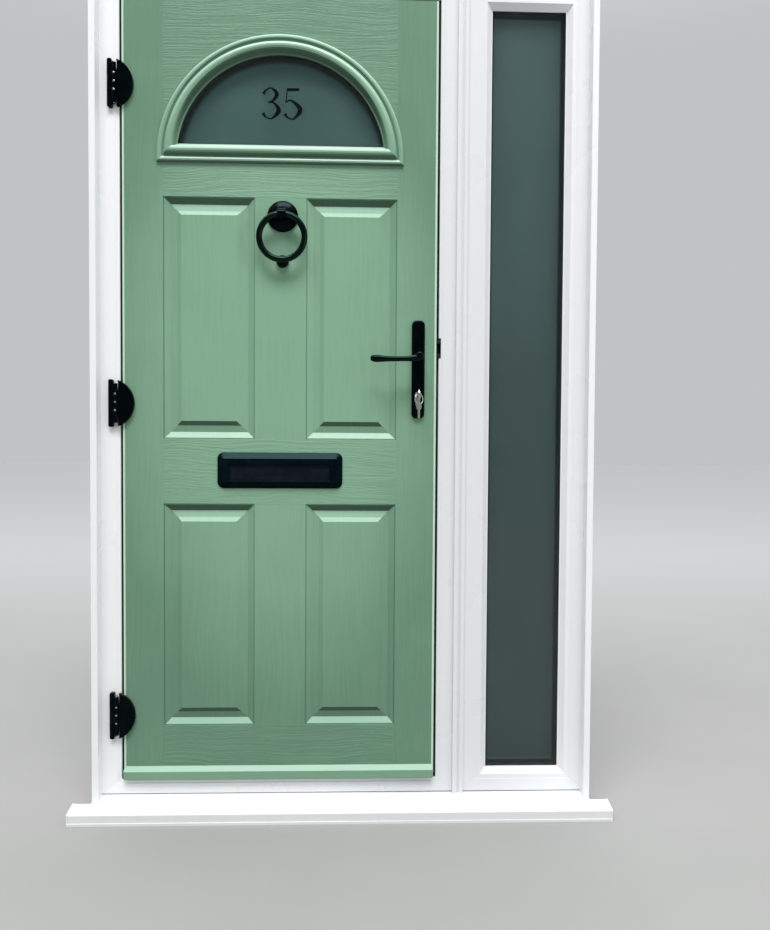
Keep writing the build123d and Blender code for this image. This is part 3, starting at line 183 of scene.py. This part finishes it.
# Grain pressed into the leaf: along the stiles and panels, and across on the rails
leafGrain = {
    "drift": (6.0, 4.0),
    "driftDetail": 1.5,
    "bend": 0.035,
    "railBend": 0.02,
    "detail": 2.0,
    "lines": (170.0, 5.0),
    "lineRange": (0.36, 0.64),
    "lineDepth": 0.6,
    "lineTone": 0.45,
    "pores": (900.0, 40.0),
    "poreRange": (0.30, 0.62),
    "poreDepth": 0.4,
    "poreTone": 0.3,
    "calm": 0.22,
    "rails": 0.50,
    "depth": 0.0010,
}

# Green paint of the leaf, with painted shade where it faces down and a painted highlight where it faces up
leafPaint = {
    "dark": colour(0.126, 0.236, 0.158),
    "light": colour(0.206, 0.368, 0.252),
    "cloud": {"scale": 6.0, "detail": 2.0},
    "cloudTone": 0.4,
    "rough": 0.33,
    "lineRough": 0.10,
    "cloudRough": 0.06,
    "under": colour(0.010, 0.046, 0.022),
    "underRise": (-0.10, -0.48),
    "underShare": 0.78,
    "ledge": colour(0.42, 0.64, 0.51),
    "ledgeRise": (0.03, 0.14),
    "ledgeShare": 0.36,
    "flatRise": (0.2, 0.5),
    "flatHighlightShare": 0.12,
}

# Painted light on the slab: a slow change of its tone, lighter round the upper panels and darker away from
# them
slabPaintedLight = {
    "height": 1.15,
    "aside": 0.44,
    "up": 0.62,
    "down": 0.86,
    "range": (0.15, 1.25),
    "share": 0.95,
}

# Lines on the slab: painted shade in a quirk round each panel, and the light edge of the leaf
slabLines = {
    "quirk": colour(0.070, 0.140, 0.092),
    "quirkWidth": (0.00064, 0.0016),
    "quirkShadeShare": 0.40,
    "quirkDepth": 0.5,
    "edge": colour(0.50, 0.66, 0.54),
    "edgeWidth": 0.0055,
}

# Moulding round the fanlight, with distances from its outline inwards, a painted highlight on its crest and
# painted shade in its groove and on its cove
fanMoulding = {
    "width": 0.046,
    "lift": 0.22,
    "crest": colour(0.62, 0.86, 0.72),
    "crestRise": (0.12, 0.70),
    "crestShare": 0.50,
    "groove": 0.0144,
    "grooveWidth": (0.0008, 0.0030),
    "grooveShadeShare": 0.80,
    "cove": (0.0360, 0.0425),
    "coveShadeShare": 0.40,
}


def panelInset(x, z):
    # How far a point lies inside the nearest row of panels, and inside the nearest panel
    upper, lower = (inset(z, low, high) for low, high in leafPlan["panelRows"])
    inRow = upper.most(lower)
    inColumn = inset(abs(x - leafPlan["middle"]), leafPlan["panelInner"], leafPlan["panelOuter"])
    return inRow, inColumn.least(inRow)


def fanInset(x, z):
    # How far a point lies inside the outline of the fanlight's moulding
    low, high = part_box("fanlight_outer_frame")
    radius = (high.x - low.x) / 2
    across, up = x - leafPlan["middle"], z - (high.z - radius)
    fromCentre = (across * across + up * up).root()
    return (radius - fromCentre).least(z - low.z)


def makeLeafPaint(name, surface, grainShare, gloss, ledgeShare):
    # The surface is the slab with its panels, the moulding of the fanlight or a plain bar
    finish = newFinish(name)
    point, (x, y, z) = finish.place()
    across, along = x, z
    bend, strength = leafGrain["bend"], leafGrain["calm"]
    if surface == "slab":
        inRow, inPanel = panelInset(x, z)
        rail = (abs(x - leafPlan["middle"]) < leafPlan["panelOuter"]) * (inRow < 0.0)
        across = x + rail * (z - x)
        along = z + rail * (x - z)
        bend = bend + rail * leafGrain["railBend"]
        strength = rail * (leafGrain["rails"] - leafGrain["calm"]) + leafGrain["calm"]
    strength = strength * grainShare

    def grainNoise(start, scales, detail):
        return finish.noise(finish.vector(start * scales[0], along * scales[1], y), detail=detail)

    drift = grainNoise(across, leafGrain["drift"], leafGrain["driftDetail"])
    bent = across + (drift - 0.5) * bend
    lines = finish.ramp(grainNoise(bent, leafGrain["lines"], leafGrain["detail"]), *leafGrain["lineRange"])
    pores = finish.ramp(grainNoise(bent, leafGrain["pores"], leafGrain["detail"]), *leafGrain["poreRange"])
    cloud = finish.noise(point, **leafPaint["cloud"])
    height = (lines * leafGrain["lineDepth"] + pores * leafGrain["poreDepth"]) * strength
    grainTone = (lines - 0.5) * leafGrain["lineTone"] + (pores - 0.5) * leafGrain["poreTone"]
    tone = 0.5 + grainTone * strength + (cloud - 0.5) * leafPaint["cloudTone"]
    if surface == "slab":
        # Painted light, falling off away from the upper panels
        aside = (x - leafPlan["middle"]) / slabPaintedLight["aside"]
        above = z - slabPaintedLight["height"]
        above = (above / slabPaintedLight["up"]).most(above / -slabPaintedLight["down"])
        paintedLight = 0.5 - finish.ramp(aside * aside + above * above, *slabPaintedLight["range"])
        tone = tone + paintedLight * slabPaintedLight["share"]
    if surface == "moulding":
        tone = tone + fanMoulding["lift"]
    paint = finish.mix(tone, leafPaint["dark"], leafPaint["light"])

    rise = finish.rise()
    # Painted shade where the surface faces down
    under = finish.ramp(rise, *leafPaint["underRise"]) * leafPaint["underShare"]
    paint = finish.mix(under, paint, leafPaint["under"])
    # Painted highlight where the surface faces up
    ledge = finish.ramp(rise, *leafPaint["ledgeRise"]) * leafPaint["ledgeShare"]
    ledge = ledge + finish.ramp(rise, *leafPaint["flatRise"]) * leafPaint["flatHighlightShare"]
    paint = finish.mix(ledge * ledgeShare, paint, leafPaint["ledge"])
    if surface == "moulding":
        # Painted highlight on the crest, then painted shade in the groove and on the cove, in the quirk's
        # colour
        crest = finish.ramp(rise, *fanMoulding["crestRise"]) * fanMoulding["crestShare"]
        paint = finish.mix(crest, paint, fanMoulding["crest"])
        inside = fanInset(x, z)
        groove = 1 - finish.ramp(abs(inside - fanMoulding["groove"]), *fanMoulding["grooveWidth"])
        cove = finish.ramp(inside, *fanMoulding["cove"])
        shade = groove * fanMoulding["grooveShadeShare"] + cove * fanMoulding["coveShadeShare"]
        paint = finish.mix(shade, paint, slabLines["quirk"])
    if surface == "slab":
        # Painted shade in the quirk round each panel, which is also pressed in as a groove
        quirk = 1 - finish.ramp(abs(inPanel), *slabLines["quirkWidth"])
        paint = finish.mix(quirk * slabLines["quirkShadeShare"], paint, slabLines["quirk"])
        height = height - quirk * slabLines["quirkDepth"]
        edge = abs(x - leafPlan["middle"]) > leafPlan["halfWidth"] - slabLines["edgeWidth"]
        paint = finish.mix(edge, paint, slabLines["edge"])
    roughness = leafPaint["rough"] + (0.5 - lines) * strength * leafPaint["lineRough"]
    roughness = roughness + cloud * leafPaint["cloudRough"]
    return finish.shader(
        height, leafGrain["depth"], Base_Color=paint, Roughness=roughness, Specular_IOR_Level=gloss
    )


slabPaint = makeLeafPaint("pressedGreenSkin", "slab", 1.0, 0.22, 1.0)
barPaint = makeLeafPaint("smoothGreenMoulding", "bar", 0.12, 0.42, 0.75)
fanPaint = makeLeafPaint("fanGreenMoulding", "moulding", 0.12, 0.5, 0.75)

# White plastic of the frames, sill and trims, with dirt and painted shade
framePlastic = {
    "clean": colour(0.812, 0.816, 0.826),
    "dustAndShade": colour(0.690, 0.690, 0.685),
    "smudge": {"scale": 6.0, "detail": 2.0},
    "smudgeShare": 0.6,
    "streak": (60.0, 3.0),
    "streakShare": 0.4,
    "dirtRange": (0.36, 0.76),
    "flatRise": (0.3, 0.8),
    "paintedShadeBand": colour(0.695, 0.701, 0.713),
    "paintedShadeBandPlace": 0.26,
    "paintedShadeBandReach": (0.05, 0.34),
    "rough": 0.24,
    "dirtRough": 0.2,
    "smudgeRough": 0.08,
    "ripple": (30.0, 4.0),
    "rippleDetail": 1.0,
    "rippleDepth": 0.4,
    "seam": colour(0.56, 0.57, 0.56),
    "seamWidth": (0.00028, 0.0007),
    "seamShare": 0.6,
    "depth": 0.0004,
    "relief": 0.5,
}


def makeFramePlastic(name, dust, welded=None, paintedUprightShade=0.0):
    finish = newFinish(name)
    point, (x, y, z) = finish.place()
    wide, tall = framePlastic["streak"]
    streak = finish.noise(finish.vector(x * wide, y * wide, z * tall))
    smudge = finish.noise(point, **framePlastic["smudge"])
    dirtAndShade = smudge * framePlastic["smudgeShare"] + streak * framePlastic["streakShare"]
    dirtAndShade = finish.ramp(dirtAndShade, *framePlastic["dirtRange"]) * dust
    # Painted shade on the faces that do not face up, added to the dirt
    if paintedUprightShade:
        dirtAndShade = dirtAndShade + (1 - finish.ramp(finish.rise(), *framePlastic["flatRise"])) * paintedUprightShade
    tone = finish.mix(dirtAndShade, framePlastic["clean"], framePlastic["dustAndShade"])
    # Painted shade in a band round x = 0.26 m, fading out to either side
    paintedShadeBand = 1 - finish.ramp(abs(x - framePlastic["paintedShadeBandPlace"]), *framePlastic["paintedShadeBandReach"])
    tone = finish.mix(paintedShadeBand, tone, framePlastic["paintedShadeBand"])
    roughness = framePlastic["rough"] + dirtAndShade * framePlastic["dirtRough"]
    roughness = roughness + smudge * framePlastic["smudgeRough"]
    wide, tall = framePlastic["ripple"]
    ripple = finish.noise(finish.vector(x * wide, y * wide, z * tall), detail=framePlastic["rippleDetail"])
    height = ripple * framePlastic["rippleDepth"]
    if welded:
        low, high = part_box(welded)
        fromCorner = inset(x, low.x, high.x) - inset(z, low.z, high.z)  # 0 along the mitre of each corner
        seam = 1 - finish.ramp(abs(fromCorner), *framePlastic["seamWidth"])
        tone = finish.mix(seam * framePlastic["seamShare"], tone, framePlastic["seam"])
        height = height - seam
    return finish.shader(
        height, framePlastic["depth"], framePlastic["relief"], Base_Color=tone, Roughness=roughness
    )


profilePlastic = makeFramePlastic("whiteFramePlastic", 0.08)
doorFramePlastic = makeFramePlastic("whiteDoorFramePlastic", 0.08, "door_frame")
sideFramePlastic = makeFramePlastic("whiteSideFramePlastic", 0.08, "sidelight_frame")
# The sill takes painted shade on its faces that do not face up
sillPlastic = makeFramePlastic("whiteSillPlastic", 0.2, paintedUprightShade=0.8)

# Black coated hardware: tones, roughness, level and tint of the gloss, and a painted highlight on the upper
# edges
coldBlack = colour(0.55, 0.88, 1.0)
greenBlack = colour(0.36, 1.0, 0.62)
coatSurface = {
    "peel": {"scale": 1400.0, "detail": 2.0},
    "wear": {"scale": 35.0, "detail": 4.0, "rough": 0.65},
    "wearRange": (0.35, 0.75),
    "wearRough": 0.12,
    "crestShare": 0.8,
    "depth": 0.00015,
    "relief": 0.5,
}
coats = {
    "blackCoatedMetal": {
        "tones": (colour(0.0004, 0.0014, 0.0018), colour(0.0014, 0.0028, 0.0034)),
        "rough": 0.07,
        "gloss": 0.06,
        "tint": coldBlack,
        "crest": colour(0.045, 0.062, 0.060),
        "crestRise": (0.7, 0.98),
    },
    "letterPlateCoat": {
        "tones": (colour(0.0010, 0.0036, 0.0050), colour(0.0028, 0.0072, 0.0095)),
        "rough": 0.18,
        "gloss": 0.03,
        "tint": coldBlack,
        "crest": colour(0.042, 0.086, 0.088),
        "crestRise": (0.3, 0.8),
    },
    "letterFlapCoat": {
        "tones": (colour(0.0045, 0.0070, 0.0105), colour(0.0100, 0.0135, 0.0185)),
        "rough": 0.25,
        "gloss": 0.06,
        "tint": coldBlack,
    },
    "knockerRingCoat": {
        "tones": (colour(0.0004, 0.0014, 0.0018), colour(0.0014, 0.0028, 0.0034)),
        "rough": 0.03,
        "gloss": 0.20,
        "tint": greenBlack,
        "crest": colour(0.075, 0.100, 0.090),
        "crestRise": (0.5, 0.95),
    },
    "leverCoat": {
        "tones": (colour(0.0004, 0.0014, 0.0018), colour(0.0014, 0.0028, 0.0034)),
        "rough": 0.06,
        "gloss": 0.13,
        "tint": greenBlack,
        "crest": colour(0.055, 0.075, 0.068),
        "crestRise": (0.55, 0.9),
    },
    "numberCoat": {
        "tones": (colour(0.0006, 0.0010, 0.0011), colour(0.0016, 0.0022, 0.0024)),
        "rough": 0.5,
        "gloss": 0.06,
        "tint": coldBlack,
    },
    # Dark coat of the keep, also put on the latch bolt as painted shade
    "darkKeepAndShadeCoat": {
        "tones": (colour(0.012, 0.012, 0.011), colour(0.026, 0.026, 0.025)),
        "rough": 0.4,
        "gloss": 0.2,
        "tint": coldBlack,
    },
}


def makeCoat(name, coat):
    finish = newFinish(name)
    point = finish.coordinate("Object")
    peel = finish.noise(point, **coatSurface["peel"])
    wear = finish.noise(point, **coatSurface["wear"])
    tone = finish.mix(finish.ramp(wear, *coatSurface["wearRange"]), *coat["tones"])
    # Painted highlight where the coat faces up
    if "crest" in coat:
        crest = finish.ramp(finish.rise(), *coat["crestRise"]) * coatSurface["crestShare"]
        tone = finish.mix(crest, tone, coat["crest"])
    roughness = coat["rough"] + wear * coatSurface["wearRough"]
    return finish.shader(
        peel, coatSurface["depth"], coatSurface["relief"],
        Base_Color=tone, Roughness=roughness, Specular_IOR_Level=coat["gloss"], Specular_Tint=coat["tint"]
    )


coatFinish = {name: makeCoat(name, coat) for name, coat in coats.items()}

# Bare metal of the keys, cylinder, spacers and lock
bareSurface = {
    "brush": (300.0, 4000.0),
    "brushDetail": 2.0,
    "brushShare": 0.5,
    "brushRough": 0.15,
    "stain": {"scale": 90.0, "detail": 3.0},
    "stainShare": 0.5,
    "depth": 0.00005,
    "relief": 0.4,
}


def makeBareMetal(name, dark, light, rough):
    finish = newFinish(name)
    point, (x, y, z) = finish.place()
    wide, tall = bareSurface["brush"]
    brush = finish.noise(finish.vector(x * wide, y * wide, z * tall), detail=bareSurface["brushDetail"])
    stain = finish.noise(point, **bareSurface["stain"])
    tone = finish.mix(brush * bareSurface["brushShare"] + stain * bareSurface["stainShare"], dark, light)
    roughness = rough + brush * bareSurface["brushRough"]
    return finish.shader(
        brush, bareSurface["depth"], bareSurface["relief"], Base_Color=tone, Roughness=roughness, Metallic=1.0
    )


keyMetal = makeBareMetal("brightKeyMetal", colour(0.45, 0.44, 0.41), colour(0.72, 0.71, 0.68), 0.22)
lockSteel = makeBareMetal("lockSteel", colour(0.35, 0.35, 0.35), colour(0.6, 0.6, 0.6), 0.35)
spacerMetal = makeBareMetal("spacerMetal", colour(0.25, 0.25, 0.25), colour(0.4, 0.4, 0.4), 0.4)

# Rubber and dull plastic
dullSurface = {
    "grain": {"scale": 900.0, "detail": 3.0},
    "grainRough": 0.15,
    "dust": {"scale": 25.0, "detail": 4.0},
    "depth": 0.0001,
    "relief": 0.6,
}


def makeDull(name, dark, light, rough):
    finish = newFinish(name)
    point = finish.coordinate("Object")
    grain = finish.noise(point, **dullSurface["grain"])
    tone = finish.mix(finish.noise(point, **dullSurface["dust"]), dark, light)
    roughness = rough + grain * dullSurface["grainRough"]
    return finish.shader(
        grain, dullSurface["depth"], dullSurface["relief"], Base_Color=tone, Roughness=roughness
    )


blackRubber = makeDull("blackRubber", colour(0.006, 0.006, 0.006), colour(0.02, 0.02, 0.02), 0.6)
packerPlastic = makeDull("packerPlastic", colour(0.05, 0.12, 0.35), colour(0.07, 0.16, 0.42), 0.5)
sleevePlastic = makeDull("sleevePlastic", colour(0.01, 0.01, 0.01), colour(0.03, 0.03, 0.03), 0.5)

# Clear outer panes, with a thin film of dust
clearPane = {
    "film": {"scale": 9.0, "detail": 5.0, "rough": 0.6},
    "filmRange": (0.45, 0.9),
    "filmRough": 0.05,
    "tones": (colour(0.86, 0.93, 0.92), colour(0.92, 0.97, 0.96)),
    "wave": {"scale": 5.0, "detail": 1.0},
    "depth": 0.0008,
    "relief": 0.25,
    "index": 1.3,
}


def makeClearGlass(name):
    finish = newFinish(name)
    point = finish.coordinate("Object")
    film = finish.noise(point, **clearPane["film"])
    roughness = finish.ramp(film, *clearPane["filmRange"]) * clearPane["filmRough"]
    tone = finish.mix(film, *clearPane["tones"])
    wave = finish.noise(point, **clearPane["wave"])
    return finish.shader(
        wave, clearPane["depth"], clearPane["relief"],
        Base_Color=tone, Roughness=roughness, Transmission_Weight=1.0, IOR=clearPane["index"]
    )


# Satin inner panes, with a dark band round the edge, partly the edge seal and partly painted shade from the
# frame, and a fine line above the side panel's foot
satinPane = {
    "speckle": {"scale": 700.0, "detail": 3.0},
    "cloud": (6.0, 2.0),
    "cloudDetail": 4.0,
    "cloudShare": 0.4,
    "height": (0.1, 2.0),
    "heightShare": 0.6,
    "rough": 0.45,
    "speckleRough": 0.15,
    "gloss": 0.15,
    "depth": 0.0002,
    "relief": 0.5,
    "sealAndShade": colour(0.006, 0.011, 0.011),
    "sealAndShadeShare": 0.85,
    "line": colour(0.16, 0.20, 0.20),
    "lineInset": 0.0105,
    "lineWidth": 0.0010,
    "lineShare": 0.5,
}
sidePane = {
    "tones": (colour(0.047, 0.064, 0.065), colour(0.124, 0.186, 0.184)),
    "sealAndShadeWidth": (0.0045, 0.0100),
}
fanPane = {
    "tones": (colour(0.052, 0.086, 0.084), colour(0.112, 0.202, 0.198)),
    "sealAndShadeWidth": (0.001, 0.014),
}


def sidePaneEdge(x, z):
    # Distance inside the open glass of the side panel, and the fine line above its foot
    left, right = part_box("glazing_bead_left")[1].x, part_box("glazing_bead_right")[0].x
    foot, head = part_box("glazing_bead_bottom")[1].z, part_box("glazing_bead_top")[0].z
    inX = inset(x, left, right)
    line = abs(z - foot - satinPane["lineInset"]) < satinPane["lineWidth"]
    return inX.least(inset(z, foot, head)), line * (inX > satinPane["lineInset"])


def fanPaneEdge(x, z):
    # Distance inside the open glass of the fanlight, which has no line
    return fanInset(x, z) - fanMoulding["width"], None


def makeSatinGlass(name, pane, edge):
    finish = newFinish(name)
    point, (x, y, z) = finish.place()
    speckle = finish.noise(point, **satinPane["speckle"])
    wide, tall = satinPane["cloud"]
    cloud = finish.noise(finish.vector(x * wide, y, z * tall), detail=satinPane["cloudDetail"])
    shade = cloud * satinPane["cloudShare"] + finish.ramp(z, *satinPane["height"]) * satinPane["heightShare"]
    tone = finish.mix(shade, *pane["tones"])
    inside, line = edge(x, z)
    # Dark band round the open glass: partly the edge seal, partly painted shade from the frame and moulding
    sealAndShade = (1 - finish.ramp(inside, *pane["sealAndShadeWidth"])) * satinPane["sealAndShadeShare"]
    tone = finish.mix(sealAndShade, tone, satinPane["sealAndShade"])
    if line is not None:
        tone = finish.mix(line * satinPane["lineShare"], tone, satinPane["line"])
    roughness = satinPane["rough"] + speckle * satinPane["speckleRough"]
    return finish.shader(
        speckle, satinPane["depth"], satinPane["relief"],
        Base_Color=tone, Roughness=roughness, Specular_IOR_Level=satinPane["gloss"]
    )


clearGlass = makeClearGlass("clearPane")
sideSatin = makeSatinGlass("satinSidePane", sidePane, sidePaneEdge)
fanSatin = makeSatinGlass("satinFanPane", fanPane, fanPaneEdge)

# Which finish goes on which slot, and on which single nodes instead
slotFinish = {
    "white_profile": profilePlastic,
    "white_cap": sillPlastic,
    "green_leaf": barPaint,
    "black_metal": coatFinish["blackCoatedMetal"],
    "letter_metal": coatFinish["letterPlateCoat"],
    "dark_keep": coatFinish["darkKeepAndShadeCoat"],
    "clear_glass": clearGlass,
    "grey_glass": sideSatin,
    "black_rubber": blackRubber,
    "lock_steel": lockSteel,
    "spacer_metal": spacerMetal,
    "packer_plastic": packerPlastic,
    "sleeve_plastic": sleevePlastic,
    "cylinder_metal": keyMetal,
    "key_metal": keyMetal,
}
nodeFinish = {
    "door_slab": slabPaint,
    "fanlight_outer_frame": fanPaint,
    "fanlight_inner_frame": fanPaint,
    "fanlight_inner_pane": fanSatin,
    "door_frame": doorFramePlastic,
    "sidelight_frame": sideFramePlastic,
    "sill": sillPlastic,
    # The latch bolt takes the keep's dark coat as painted shade, for it sits in the shaded gap
    "latch_bolt": coatFinish["darkKeepAndShadeCoat"],
    "letter_flap_outer": coatFinish["letterFlapCoat"],
    "knocker_ring": coatFinish["knockerRingCoat"],
    "lever_outer": coatFinish["leverCoat"],
    "lever_inner": coatFinish["leverCoat"],
}
for part in frame["record"]["subparts"]:
    name = part["node"]
    mesh = nodes[name].data
    mesh.materials.clear()
    mesh.materials.append(nodeFinish.get(name, slotFinish[part["material_slot"]]))
print("materials on", len(nodes), "nodes")


# Meshes of the small pieces
def curvePoints(stops, steps):
    # A smooth line through stops of (x, z, width), ends included
    line = []
    for i in range(len(stops) - 1):
        a, b, c, d = (Vector(stops[max(0, min(len(stops) - 1, i + k))]) for k in (-1, 0, 1, 2))
        for step in range(steps):
            t = step / steps
            curved = (2 * a - 5 * b + 4 * c - d) * t**2 + (3 * b - a - 3 * c + d) * t**3
            line.append(0.5 * (2 * b + (c - a) * t + curved))
    line.append(Vector(stops[-1]))
    return line


def addRibbon(mesh, stops, steps, front, back):
    # A flat closed stroke in the X-Z plane that follows a smooth line
    line = curvePoints(stops, steps)
    rows = []
    for i, point in enumerate(line):
        run = line[min(i + 1, len(line) - 1)] - line[max(i - 1, 0)]
        side = Vector((-run.y, run.x)).normalized() * point.z / 2
        corners = ((point.x + side.x, point.y + side.y), (point.x - side.x, point.y - side.y))
        rows.append([mesh.verts.new((x, y, z)) for y in (front, back) for x, z in corners])
    for first, second in zip(rows, rows[1:]):
        for a, b in ((0, 1), (1, 3), (3, 2), (2, 0)):
            mesh.faces.new((first[a], first[b], second[b], second[a]))
    mesh.faces.new([rows[0][k] for k in (0, 2, 3, 1)])
    mesh.faces.new([rows[-1][k] for k in (0, 1, 3, 2)])


def addTurned(mesh, centre, rings, segments):
    # A small round piece that faces outdoors, closed by its first and last ring
    rows = []
    for radius, out in rings:
        row = []
        for k in range(segments):
            angle = 2 * math.pi * k / segments
            place = (radius * math.cos(angle), -out, radius * math.sin(angle))
            row.append(mesh.verts.new(Vector(centre) + Vector(place)))
        rows.append(row)
    for first, second in zip(rows, rows[1:]):
        for k in range(segments):
            after = (k + 1) % segments
            mesh.faces.new((first[k], second[k], second[after], first[after]))
    mesh.faces.new(rows[0])
    mesh.faces.new(list(reversed(rows[-1])))


def finishMesh(name, mesh, finish, body):
    bmesh.ops.recalc_face_normals(mesh, faces=mesh.faces)
    data = bpy.data.meshes.new(name)
    mesh.to_mesh(data)
    mesh.free()
    data.materials.append(finish)
    made = bpy.data.objects.new(name, data)
    bpy.context.collection.objects.link(made)
    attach(made, body)


# Plain house number 35 on the fanlight's outer pane, each stroke as stops of (x, z, width) in digit heights
houseNumber = {
    "height": 0.074,
    "foot": 1.7035,
    "pitch": 0.053,
    "digitWidth": 0.58,
    "thick": 0.0012,
    "steps": 8,
    "digits": (
        (
            ((0.06, 0.80, 0.10), (0.16, 0.94, 0.05), (0.33, 0.99, 0.05),
             (0.50, 0.80, 0.13), (0.36, 0.58, 0.06), (0.22, 0.54, 0.03)),
            ((0.22, 0.54, 0.03), (0.42, 0.50, 0.06), (0.56, 0.26, 0.15),
             (0.34, 0.01, 0.05), (0.14, 0.05, 0.05), (0.05, 0.18, 0.11)),
        ),
        (
            ((0.11, 0.955, 0.09), (0.30, 0.955, 0.09), (0.52, 0.965, 0.08)),
            ((0.13, 0.97, 0.035), (0.105, 0.75, 0.035), (0.08, 0.53, 0.035)),
            ((0.08, 0.54, 0.03), (0.26, 0.60, 0.06), (0.55, 0.32, 0.15),
             (0.34, 0.01, 0.05), (0.14, 0.05, 0.05), (0.05, 0.17, 0.11)),
        ),
    ),
}


def addNumber():
    low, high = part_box("fanlight_outer_pane")
    size = houseNumber["height"]
    middle = (len(houseNumber["digits"]) - 1) / 2
    mesh = bmesh.new()
    for index, strokes in enumerate(houseNumber["digits"]):
        centre = leafPlan["middle"] + (index - middle) * houseNumber["pitch"]
        left = centre - size * houseNumber["digitWidth"] / 2
        for stops in strokes:
            placed = [(left + x * size, houseNumber["foot"] + z * size, w * size) for x, z, w in stops]
            addRibbon(mesh, placed, houseNumber["steps"], low.y - houseNumber["thick"], low.y)
    finishMesh("house_number_digits", mesh, coatFinish["numberCoat"], "leaf")


# Bright socket screws on the knuckle of each hinge, turned from rings of (radius, distance out)
hingeScrews = {
    "x": -0.55675,
    "knuckleFront": -0.014,
    "lift": 0.0025,
    "pitch": 0.0200,
    "rings": (
        (0.0024, -0.0012), (0.0024, -0.0004), (0.0022, 0.0),
        (0.0017, 0.0002), (0.0010, 0.0002), (0.0008, -0.0003),
    ),
    "segments": 24,
}


def addHingeScrews():
    for place in ("top", "middle", "bottom"):
        low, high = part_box("hinge_leaf_half_" + place)
        mesh = bmesh.new()
        for step in (-1, 0, 1):
            z = (low.z + high.z) / 2 + hingeScrews["lift"] + step * hingeScrews["pitch"]
            centre = (hingeScrews["x"], hingeScrews["knuckleFront"], z)
            addTurned(mesh, centre, hingeScrews["rings"], hingeScrews["segments"])
        finishMesh("hinge_screws_" + place, mesh, keyMetal, "leaf")


addNumber()
addHingeScrews()
print("number and screws")

# Floor, which gets lighter towards the back
studioFloor = {
    "size": 60.0,
    "tones": (colour(0.27, 0.27, 0.265), colour(0.31, 0.31, 0.305)),
    "cloud": {"scale": 2.0, "detail": 5.0},
    "far": colour(0.43, 0.435, 0.44),
    "farRange": (0.3, 5.0),
    "rough": 0.7,
    "cloudRough": 0.1,
}


def addFloor():
    finish = newFinish("paleFloor")
    point, (x, y, z) = finish.place()
    cloud = finish.noise(point, **studioFloor["cloud"])
    tone = finish.mix(cloud, *studioFloor["tones"])
    tone = finish.mix(finish.ramp(y, *studioFloor["farRange"]), tone, studioFloor["far"])
    roughness = studioFloor["rough"] + cloud * studioFloor["cloudRough"]
    bpy.ops.mesh.primitive_plane_add(size=studioFloor["size"], location=(0.0, 0.0, 0.0))
    floor = bpy.context.object
    floor.name = "floor"
    floor.data.materials.append(finish.shader(Base_Color=tone, Roughness=roughness))


# Soft lamps, both aimed at the middle of the door
lampTarget = (0.0, 0.0, 1.0)
lamps = {
    "keyLight": {"place": (-0.3, -4.2, 8.8), "size": (6.0, 2.6), "power": 760.0},
    "fillLight": {"place": (4.0, -3.0, 1.8), "size": (1.6, 2.6), "power": 40.0},
}


def addLamp(name, lamp):
    light = bpy.data.lights.new(name, "AREA")
    light.shape = "RECTANGLE"
    light.size, light.size_y = lamp["size"]
    light.energy = lamp["power"]
    made = bpy.data.objects.new(name, light)
    bpy.context.collection.objects.link(made)
    made.location = lamp["place"]
    aim = Vector(lampTarget) - Vector(lamp["place"])
    made.rotation_euler = aim.to_track_quat("-Z", "Y").to_euler()


# Sky: one tone in front of the door, one behind it and a bright one overhead
sky = {
    "front": colour(0.225, 0.255, 0.255),
    "back": colour(0.53, 0.54, 0.55),
    "backRange": (-0.2, 0.4),
    "top": colour(1.72, 1.74, 1.75),
    "topRange": (0.42, 0.85),
}


def addSky():
    world = bpy.data.worlds.new("studioSky")
    bpy.context.scene.world = world
    finish = Finish(world)
    x, y, z = finish.parts(finish.coordinate("Generated"))
    tone = finish.mix(finish.ramp(y, *sky["backRange"]), sky["front"], sky["back"])
    tone = finish.mix(finish.ramp(z, *sky["topRange"]), tone, sky["top"])
    background = finish.node("ShaderNodeBackground", sockets={"Color": tone})[0]
    finish.node("ShaderNodeOutputWorld", sockets={"Surface": background})


addFloor()
for name, lamp in lamps.items():
    addLamp(name, lamp)
addSky()
bpy.context.scene.view_settings.view_transform = "Standard"

# Camera where the photograph was taken from, with angles in radians
shot = {
    "place": (0.036, -1.915, 0.9175),
    "pitch": -0.02987,
    "yaw": -0.03304,
    "roll": -0.00614,
    "lens": 30.0,
}


def addCamera():
    turn = Matrix.Rotation(shot["yaw"], 3, "Z") @ Matrix.Rotation(shot["pitch"], 3, "X")
    turn = turn @ Matrix.Rotation(shot["roll"], 3, "Y")
    right, forward, up = (turn @ Vector(axis) for axis in ((1, 0, 0), (0, 1, 0), (0, 0, 1)))
    rows = [(right[i], up[i], -forward[i]) for i in range(3)]
    lens = bpy.data.cameras.new("camera")
    lens.lens = shot["lens"]
    camera = bpy.data.objects.new("camera", lens)
    bpy.context.collection.objects.link(camera)
    camera.matrix_world = Matrix.Translation(shot["place"]) @ Matrix(rows).to_4x4()
    bpy.context.scene.camera = camera


addCamera()
print("studio and camera")
